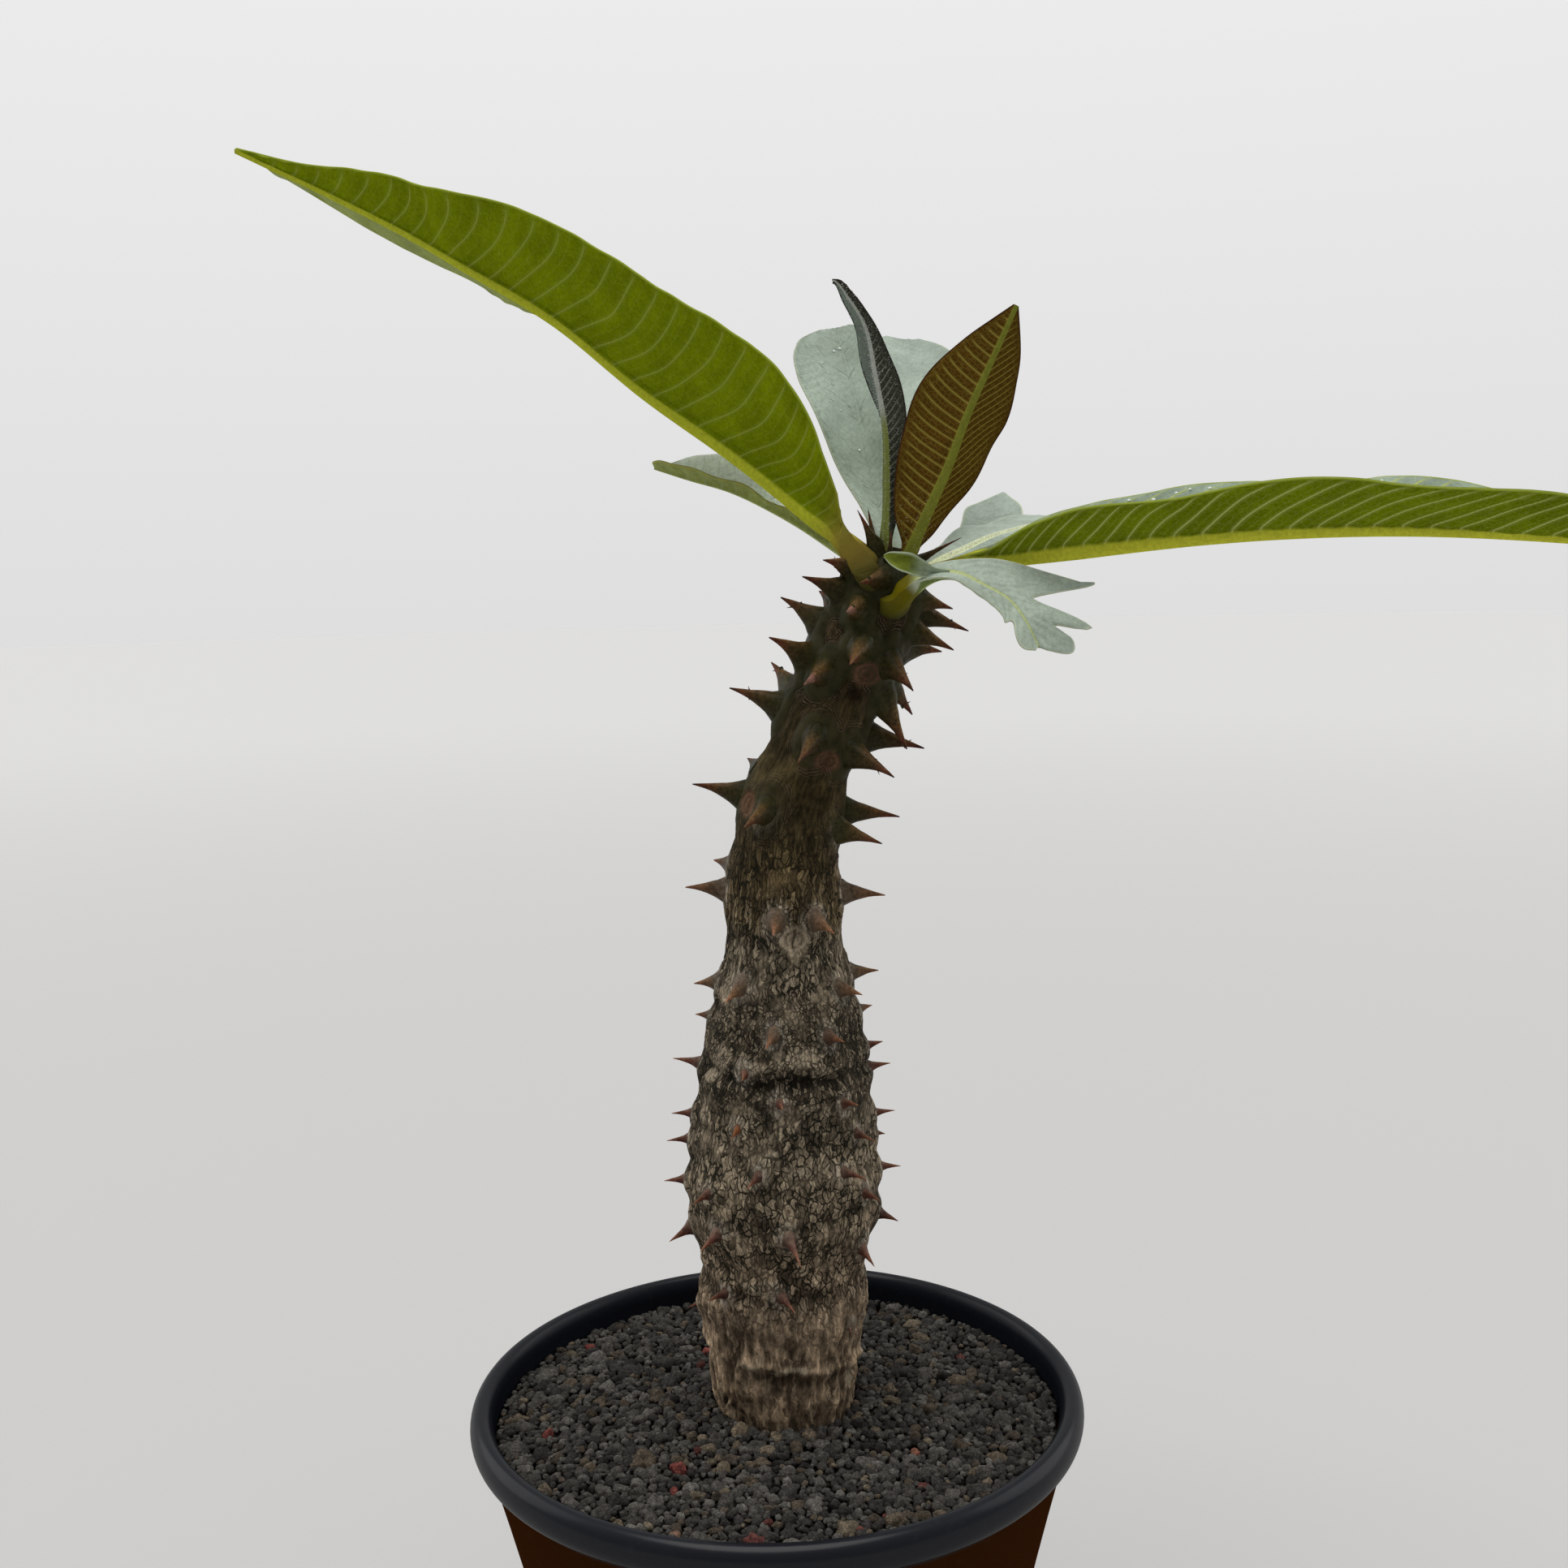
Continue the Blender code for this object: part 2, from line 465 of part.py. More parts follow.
# Each leaf: its midrib from inside the crown to the tip; the direction that its upper face looks in;
# the half width of its left and right half; the rise of each half over the midrib, in degrees, at
# places from foot to tip; the midrib's radius; the edges' wave as count, height and phase; and how far
# its side parts sweep forward on each half.
LEAVES = {
    "leaf_long_left": {
        "midrib": ((24.5, 1, 256), (21.6, -2.6, 261.2), (16, 0.4, 265.9), (10.4, 4, 270.2),
                   (-4.4, 12, 282.3), (-21.5, 20, 295.1), (-39, 28, 310.1), (-57.5, 36, 322.1),
                   (-69.5, 44, 329.9), (-87.2, 52, 339.9), (-109.8, 60, 351.7)),
        "face": (0, 0, 1),
        "left": NEAR_LONG_HALF,
        "right": FAR_LONG_HALF,
        "rise": (((0, 62), (1, 54)), ((0, 22), (0.4, 10), (0.7, -7), (1, -10))),
        "rib": ((0, 2.9), (0.1, 2.3), (0.4, 1.5), (1, 0.5)),
        "wave": (5, 0.9, 0.2),
        "sections": 24,
        "colour": "green",
    },
    "leaf_long_right": {
        "midrib": ((25, 3, 255.4), (31, 2, 258.2), (36.2, 0, 260), (46.2, -5, 260.8), (57.3, -10, 261.8),
                   (68, -15, 262.8), (78.4, -20, 263.6), (88.4, -25, 264.1), (106.2, -30, 264.1),
                   (136, -35, 261.8), (166.9, -40, 257.2)),
        "face": (0, 0, 1),
        "left": ARCHED_HALF,
        "right": ARCHED_HALF,
        "rise": (((0, 40), (0.3, 33), (0.6, 28), (1, 26)), ((0, 30), (0.3, 27), (0.6, 24), (1, 23))),
        "rib": ((0, 2), (0.12, 1.6), (0.4, 1.3), (1, 0.5)),
        "wave": (4, 1.0, 0.6),
        "sections": 22,
        "colour": "green",
    },
    "leaf_bronze": {
        "midrib": ((26.6, 1, 258.5), (28.7, -3.4, 263), (31.2, -5, 268.5), (35.2, -6, 277), (39.1, -7, 287),
                   (43.9, -8, 297.2), (47.8, -9, 305.5)),
        "face": (0, 1, 0),
        "left": ((0, 1.4), (0.12, 1.5), (0.2, 3.6), (0.4, 7), (0.63, 9.2), (0.83, 6.5), (0.94, 2.8),
                 (1, 0.5)),
        "right": ((0, 1.4), (0.12, 1.6), (0.2, 5), (0.33, 8.2), (0.5, 10), (0.66, 9.9), (0.83, 6.2),
                  (0.94, 2.6), (1, 0.5)),
        "rise": (((0, 40), (1, 34)), ((0, 12), (1, 12))),
        "rib": ((0, 1.5), (0.15, 1.3), (0.5, 0.9), (1, 0.4)),
        "wave": (4, 0.4, 0.1),
        "sections": 14,
        "colour": "bronze",
    },
    "leaf_folded_young": {
        "midrib": ((25, 1.5, 259), (24.5, -1, 264.3), (24, -1.5, 274.4), (23, -2, 286.2),
                   (20.8, -2.5, 297.9), (18.7, -3, 305.3), (15.9, -4, 311)),
        "face": (0.85, 0.5, 0),
        "left": FOLDED_HALF,
        "right": FOLDED_HALF,
        "rise": (((0, 55), (0.7, 52), (1, 5)), ((0, 58), (0.7, 48), (1, 5))),
        "rib": SMALL_RIB,
        "wave": (3, 0.3, 0.4),
        "sections": 13,
        "colour": "dark_green",
    },
    "leaf_back_left": {
        "midrib": ((24.5, 4, 258), (24.4, 9, 266.4), (23.5, 12.4, 272), (21, 15.8, 284.6),
                   (19.2, 19.2, 294.2), (17.8, 22.6, 300.9), (16.8, 26, 306.6)),
        "face": (0, -1, 0.2),
        "left": BLUNT_HALF,
        "right": BLUNT_HALF,
        "rise": (((0, 16), (1, 12)), ((0, 20), (1, 14))),
        "rib": SMALL_RIB,
        "wave": (3, 0.4, 0.3),
        "sections": 14,
        "colour": "grey_green",
    },
    "leaf_back": {
        "midrib": ((26, 5, 257), (28, 12, 264.6), (30.4, 24, 275.4), (33, 36, 288.4), (35.6, 48, 299.6),
                   (37.6, 60, 307.6)),
        "face": (0, -1, 0.5),
        "left": PLAIN_HALF,
        "right": PLAIN_HALF,
        "rise": (((0, 20), (1, 14)), ((0, 18), (1, 12))),
        "rib": LARGE_RIB,
        "wave": (3, 0.6, 0.7),
        "sections": 14,
        "colour": "grey_green",
    },
    "leaf_damaged_left": {
        "midrib": ((24, 4, 254.5), (19.9, 8, 260), (13.9, 12.4, 264.7), (4.6, 16.8, 270.7),
                   (-4.9, 21.2, 275.5), (-13, 25.6, 278.1), (-20.1, 30, 280.6)),
        "face": (0, 0, 1),
        "left": ((0, 1.4), (0.14, 1.3), (0.26, 2.8), (0.5, 4.2), (0.75, 4.8), (0.9, 4.2), (1, 1.2)),
        "right": ((0, 1.4), (0.14, 1.3), (0.26, 3.4), (0.5, 7.4), (0.72, 9.4), (0.88, 8.6), (0.95, 5.5),
                  (1, 1)),
        "rise": (((0, 46), (1, 40)), ((0, 30), (1, 34))),
        "rib": LARGE_RIB,
        "wave": (5, 0.5, 0.1),
        "sections": 14,
        "colour": "grey_green",
    },
    "leaf_right_back": {
        "midrib": ((26, 5, 256), (35.1, 9, 260.6), (41, 16, 262.9), (47, 24, 265.2), (54.3, 32, 267),
                   (61.6, 40, 268.4), (71.3, 48, 269.4), (81.6, 56, 268.9)),
        "face": (0, 0, 1),
        "left": PLAIN_HALF,
        "right": PLAIN_HALF,
        "rise": (((0, 6), (1, 4)), ((0, -16), (1, -14))),
        "rib": LARGE_RIB,
        "wave": (4, 0.6, 0.5),
        "sections": 14,
        "colour": "grey_green",
    },
    "leaf_far_back": {
        "midrib": ((26, 6, 255), (31, 16, 259.4), (38.5, 30, 261.8), (46.5, 44, 264.6), (54, 56, 268.4),
                   (60, 66, 273)),
        "face": (-0.2, -0.75, 0.65),
        "left": LATE_HALF,
        "right": BROAD_HALF,
        "rise": (((0, 14), (1, 10)), ((0, 14), (1, 10))),
        "rib": LARGE_RIB,
        "wave": (3, 0.5, 0.9),
        "sections": 14,
        "colour": "grey_green",
    },
    "leaf_torn_front": {
        "midrib": ((25, -0.5, 251), (26.4, -6, 254.8), (29, -9.2, 258), (31.8, -11.6, 259),
                   (36.5, -13.7, 258.2), (40.6, -16.3, 256.1), (45, -18.9, 253.2), (47.2, -21.2, 250),
                   (49.2, -23.4, 245.4)),
        "face": (0, -0.55, 0.84),
        "left": ((0, 2.5), (0.26, 2.2), (0.34, 2.2), (0.46, 3.5), (0.54, 9), (0.6, 17), (0.64, 19.5),
                 (0.7, 9), (0.74, 5.5), (0.78, 12), (0.82, 13), (0.87, 8.5), (0.92, 8), (0.97, 5),
                 (1, 1.5)),
        "right": ((0, 2.5), (0.26, 2.2), (0.31, 6), (0.36, 6.6), (0.42, 3.6), (0.5, 3.4), (0.62, 4.8),
                  (0.72, 5.6), (0.78, 5.2), (0.81, 3.4), (0.87, 4.6), (0.94, 3.6), (1, 1)),
        "rise": (((0, 14), (1, 8)), ((0, 20), (1, 4))),
        "rib": ((0, 2.7), (0.25, 2.2), (0.4, 1.2), (1, 0.4)),
        "wave": (3, 0.3, 0.3),
        "sections": 26,
        "colour": "grey_green",
        "petiole": 0.26,
        "sweep": (((0, 0), (0.45, 35), (0.6, 52), (1, 50)),
                  ((0, 0), (0.26, -10), (0.34, -24), (0.46, 0), (0.6, 30), (1, 40))),
    },
}
NO_SWEEP = (((0, 0), (1, 0)), ((0, 0), (1, 0)))


def leaf_points(leaf):
    """The upper and under points of a leaf, as arrays of section, column and coordinate."""
    route = by_length(leaf["midrib"])
    length = route[-1, 0]
    shares = np.linspace(0.0, 1.0, leaf["sections"] + 1)
    centre = through(route, shares * length)
    tangent = unit(through(route, shares * length + 0.5) - through(route, shares * length - 0.5))
    face = np.asarray(leaf["face"], float)
    up = unit(face - (tangent @ face)[:, None] * tangent)
    right = np.cross(tangent, up)
    rib = between(leaf["rib"], shares)
    count, height, phase = leaf["wave"]
    round_foot = np.clip(1 - shares / leaf.get("petiole", PETIOLE), 0, 1)
    halves = []
    for number, side in enumerate((-1, 1)):
        half_width = np.maximum(through(leaf[("left", "right")[number]], shares)[:, 0], 0.4)
        rise = np.radians(between(leaf["rise"][number], shares)) * (1 - round_foot)
        sweep = np.radians(between(leaf.get("sweep", NO_SWEEP)[number], shares))
        level = unit(side * np.cos(rise)[:, None] * right + np.sin(rise)[:, None] * up)
        outward = np.cos(sweep)[:, None] * level + np.sin(sweep)[:, None] * tangent
        normal = np.cos(rise)[:, None] * up - side * np.sin(rise)[:, None] * right
        envelope = np.sin(math.pi * shares)
        swing = height * envelope * np.sin(2 * math.pi * (count * shares + phase * (number + 1)))
        columns = []
        for column in COLUMNS:
            away = column * half_width
            if 0 < column < 0.5:
                away = np.minimum(1.3 * rib, column * 2 * half_width)
            bulge = rib * np.sqrt(np.clip(1 - (away / (1.25 * rib)) ** 2, 0, 1))
            middle = centre + outward * away[:, None] + normal * (swing * column ** 2)[:, None]
            columns.append((
                middle + normal * (BLADE / 2 + 0.8 * round_foot * bulge)[:, None],
                middle - normal * (BLADE / 2 + bulge)[:, None],
            ))
        halves.append(columns)
    left, right_half = halves
    order = left[:0:-1] + right_half
    middle = len(left) - 1
    upper = np.stack([column[0] for column in order], axis=1)
    under = np.stack([column[1] for column in order], axis=1)
    mean_upper = (left[0][0] + right_half[0][0]) / 2
    mean_under = (left[0][1] + right_half[0][1]) / 2
    upper[:, middle] = mean_upper
    under[:, middle] = mean_under
    return upper, under


def leaf_shape(leaf):
    """A leaf as one closed shape, with both faces split into triangles alike."""
    upper, under = leaf_points(leaf)
    rows, columns = upper.shape[:2]
    shape = bmesh.new()
    top = [[shape.verts.new(upper[i, j]) for j in range(columns)] for i in range(rows)]
    low = [[shape.verts.new(under[i, j]) for j in range(columns)] for i in range(rows)]
    for i in range(rows - 1):
        for j in range(columns - 1):
            for face, flip in ((top, 1), (low, -1)):
                first = (face[i][j], face[i][j + 1], face[i + 1][j + 1])
                second = (face[i][j], face[i + 1][j + 1], face[i + 1][j])
                if j < columns // 2:
                    first = (face[i][j], face[i][j + 1], face[i + 1][j])
                    second = (face[i][j + 1], face[i + 1][j + 1], face[i + 1][j])
                shape.faces.new(first[::flip])
                shape.faces.new(second[::flip])
        for j in (0, columns - 1):
            wall = (top[i][j], top[i + 1][j], low[i + 1][j], low[i][j])
            shape.faces.new(wall if j == 0 else wall[::-1])
    for i in (0, rows - 1):
        for j in range(columns - 1):
            wall = (top[i][j], low[i][j], low[i][j + 1], top[i][j + 1])
            shape.faces.new(wall if i == 0 else wall[::-1])
    return shape


def make_leaves(group, cutter):
    """Every leaf, seated on the crown."""
    for name, leaf in LEAVES.items():
        material = make_material(name, COLOURS[leaf["colour"]], 0.55)
        made = object_from(leaf_shape(leaf), name, group, material)
        cut(made, cutter)


def main():
    """Builds the potted plant."""
    clear_scene()
    plant = make_collection("potted_pachypodium")
    helpers = make_collection("cutters")
    make_pot(plant, helpers)
    soil = make_soil(plant)
    make_caudex("caudex", plant, make_material("caudex", COLOURS["caudex"], 0.8), 0.0)
    cutter = make_caudex("caudex_cutter", helpers, None, GAP)
    hide_helper(cutter)
    cut(soil, cutter)
    make_leaves(plant, cutter)


main()
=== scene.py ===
"""Looks of a potted Pachypodium baronii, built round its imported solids.

Sizes are in millimetres and become metres as each mesh is made. +Z is up, the pot's axis lies on Z with
its underside at z = 0, and the plant is seen from -Y. An azimuth is in degrees round the stem: 0 faces
-Y and 90 faces +X. A leaf's left and right are those of someone who looks from its foot to its tip with
its upper face up. A material's lengths are in millimetres too, from the coordinates its mesh carries.
"""

import itertools
import math
import random

import bmesh
import bpy
import numpy as np
from mathutils import Euler, Matrix, Vector

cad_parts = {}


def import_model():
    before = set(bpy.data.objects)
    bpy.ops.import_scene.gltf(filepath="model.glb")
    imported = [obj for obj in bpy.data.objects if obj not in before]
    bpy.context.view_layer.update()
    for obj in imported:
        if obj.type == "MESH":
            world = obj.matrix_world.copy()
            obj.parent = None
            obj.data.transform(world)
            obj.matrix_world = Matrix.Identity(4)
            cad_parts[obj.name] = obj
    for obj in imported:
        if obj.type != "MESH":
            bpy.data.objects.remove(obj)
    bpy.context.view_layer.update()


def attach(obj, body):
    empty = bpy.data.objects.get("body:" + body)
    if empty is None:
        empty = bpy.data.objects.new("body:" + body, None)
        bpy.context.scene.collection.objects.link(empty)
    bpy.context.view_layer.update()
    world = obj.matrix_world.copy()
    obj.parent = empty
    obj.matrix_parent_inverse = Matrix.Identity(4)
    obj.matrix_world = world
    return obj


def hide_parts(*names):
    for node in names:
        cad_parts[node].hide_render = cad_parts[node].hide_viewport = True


MM = 0.001

# Pot and gravel, as in the solids.
POT_HEIGHT = 100.0
RIM_RADIUS = 60.0
RIM_WIDTH = 4.6
RIM_DEPTH = 6.8
NECK_RADIUS = 57.2
BASE_RADIUS = 40.0
FLARE = 1.5
WALL = 1.7
FLOOR = 3.0
DRAIN_HOLES = 5
DRAIN_RADIUS = 4.0
DRAIN_CIRCLE = 24.0
SOIL_LEVEL = 94.4
GAP = 0.3

# Stem: x, z and radius along its axis, which leans to the right above z = 205.
STEM_Y = 3.0
STEM = (
    (1.5, 66, 8), (1.5, 80, 12), (1.7, 94, 13.2), (1.5, 101, 14.3), (1.5, 111, 15.4), (1.7, 117.5, 16.6),
    (1.8, 124, 16), (2.2, 137, 18.4), (2.4, 150, 17.7), (3, 162, 16.2), (3.4, 173, 14.2), (3.4, 183, 12),
    (3.5, 191, 11), (4.2, 204, 10.2), (6, 215, 9.2), (9, 223, 8.2), (12.6, 232, 8), (16.5, 240, 8),
    (20.5, 248, 8), (23.2, 256, 7.4), (24.4, 260.5, 6.2), (25, 263.5, 3.6),
)

# Spines in view, from the crown down, in pairs over the leaf scars: distance along the stem's axis,
# azimuth, length, and how far the point leans to a larger azimuth and down, as shares of the way out.
SPINES = (
    (195.5, -58, 8, 0.2, -0.05), (195, 2, 8.5, -0.65, 0.2), (193, 80, 7, 0.2, -0.05),
    (190.5, -59, 9.7, 0.05, -0.1), (190.5, 95, 11, 0, 0), (188.5, -22, 8.5, 0.1, 0.1),
    (188, -112, 4.5, -0.3, -0.3), (187.5, 80, 9, 0, 0.05), (184.5, 98, 8, 0.15, -0.3),
    (182.5, -90, 9.5, -0.2, -0.15), (181.5, 0, 10, -0.1, 0.3), (181.5, 45, 11, -0.2, 0.2),
    (180, -115, 7, -0.6, -0.5), (178, 98, 9, 0.3, 0.4), (175.5, -73, 11, 0.4, -0.1),
    (175, -32, 11, 0.3, 0.3), (175, 75, 11, 0.05, 0.7), (168.5, -108, 9, -0.5, -0.45),
    (166, 88, 12, 0, -0.2), (165.5, -90, 11, -0.1, 0), (163, -5, 11, -0.1, 0.4),
    (162.5, 49, 12, 0, 0.05), (152.5, -112, 7, -0.9, -0.2), (150, 92, 11.5, 0, -0.2),
    (148.5, -90, 10.5, -0.1, 0), (148, -32, 11, 0.2, 0.25), (146, 65, 9.5, 0.1, 0.05),
    (136, -102, 5, -0.5, -0.1), (132, -88, 8.5, -0.1, -0.05), (132, 88, 9, 0, 0),
    (128.5, 31, 9, -0.1, 0.1), (128.5, -7, 9, 0.05, 0.1), (116, -40, 7.5, 0.25, 0.2),
    (115.5, 92, 6.2, 0.1, -0.05), (114.5, -90, 5.2, -0.2, 0.05), (114.5, 53, 7, -0.2, 0),
    (108, 95, 3.5, 0.3, -0.2), (107.5, -8, 7, -0.1, 0.1), (107, -98, 4, -0.3, 0),
    (106.5, 33, 7, -0.1, -0.1), (101.5, 88, 4, 0.1, -0.3), (100, -29, 5, 0.4, 0),
    (97.5, 88, 4.8, 0.1, -0.2), (97.5, -90, 6, -0.1, -0.15), (95, -4, 5.5, 0.2, -0.1),
    (94, 41, 6, -0.2, -0.25), (89.5, -30, 5.5, 0.3, 0.05), (88.5, 88, 4.7, 0.1, -0.15),
    (88, 51, 6, -0.2, 0), (87.5, -90, 4.6, -0.1, 0.05), (84, 92, 2.5, 0.1, 0.1),
    (83, -88, 5, -0.1, 0.1), (81.5, -14, 6.5, -0.1, 0.05), (81, 37, 7, 0.1, -0.05),
    (77, 88, 4.8, 0.1, 0), (76.5, -49, 6, 0.3, 0.05), (75.5, 56, 5.5, -0.4, 0),
    (75, -88, 5, -0.1, 0.05), (70, 2, 8, 0.3, 0.4), (69, -42, 6.5, 0.15, 0.25),
    (69, 83, 4.8, 0, 0.35), (66, -83, 5.8, 0.1, 0.55), (65, 59, 5.5, -0.45, 0.55),
    (57.5, -3, 7, 0.5, 0.1), (56.5, -41, 5.5, 0, -0.05), (50, -83, 2.5, 0, 0.3),
    (49.5, 51, 2.2, -0.6, 0.45),
)
# The back, out of view, repeats the spines within this azimuth of the front.
REPEATED_TO = 70
CROWN_SPINES = (
    ((22.6, -1, 262.6), (19, -4.2, 270.2), 2),
    ((22.6, 6.6, 262), (21.6, 8.6, 270.8), 1.7),
    ((24.6, -2.8, 260.6), (24.9, -8, 266.6), 1.3),
    ((28.2, 0.4, 259.6), (38.2, -3.4, 264.8), 1.6),
)
# A spine's foot radius by its place along the stem; it is higher than wide, and bows up by a share.
SPINE_FEET = ((44, 0.9), (50, 1.1), (57, 1.8), (66, 2.3), (75, 1.8), (82, 1.6), (90, 1.5), (98, 1.8),
              (107, 2.1), (115, 2.6), (128, 3), (148, 3.3), (165, 3.7), (182, 3.8), (196, 3))
FOOT_WIDTH = 0.82
FOOT_HEIGHT = 1.1
SPINE_BOW = 0.14
CROWN_BOW = (0.5, 0.5, 0.7)
SPINE_SINK = 0.6
LARGE_SPINE = 2.5
LARGE_STATIONS = ((-0.28, 1.25), (0.06, 0.9), (0.26, 0.54), (0.52, 0.29), (0.8, 0.13))
SMALL_STATIONS = ((-0.3, 1.2), (0.12, 0.82), (0.36, 0.42), (0.68, 0.19))

# Half widths of a blade's half along its midrib.
NEAR_LONG_HALF = ((0, 2.4), (0.07, 2.1), (0.1, 8), (0.15, 18), (0.21, 23), (0.28, 24.6), (0.36, 23.8),
                  (0.48, 21.6), (0.57, 19), (0.66, 15.6), (0.75, 12), (0.82, 8.6), (0.9, 4.2), (1, 0.5))
FAR_LONG_HALF = ((0, 2.4), (0.07, 2.1), (0.1, 2.4), (0.15, 5), (0.21, 10), (0.28, 16), (0.36, 19),
                 (0.48, 18.8), (0.57, 17), (0.66, 15), (0.75, 12), (0.82, 9), (0.9, 4.6), (1, 0.5))
ARCHED_HALF = ((0, 1.9), (0.1, 1.7), (0.14, 4), (0.2, 10), (0.25, 12.6), (0.32, 14.6), (0.4, 16.4),
               (0.5, 17.8), (0.65, 17.2), (0.8, 13), (0.92, 6.5), (1, 0.5))
PLAIN_HALF = ((0, 1.4), (0.1, 1.4), (0.2, 4.5), (0.4, 9.5), (0.6, 11.2), (0.8, 8.6), (0.93, 4), (1, 0.5))
BLUNT_HALF = ((0, 1.2), (0.12, 1.4), (0.25, 3), (0.4, 5.4), (0.55, 7.2), (0.7, 8.8), (0.83, 9.8),
              (0.92, 9.2), (0.97, 7), (1, 3.5))

# A midrib's radius along a large and a small leaf.
LARGE_RIB = ((0, 1.6), (0.15, 1.4), (0.5, 1), (1, 0.4))
SMALL_RIB = ((0, 1.2), (0.2, 1), (0.6, 0.7), (1, 0.4))

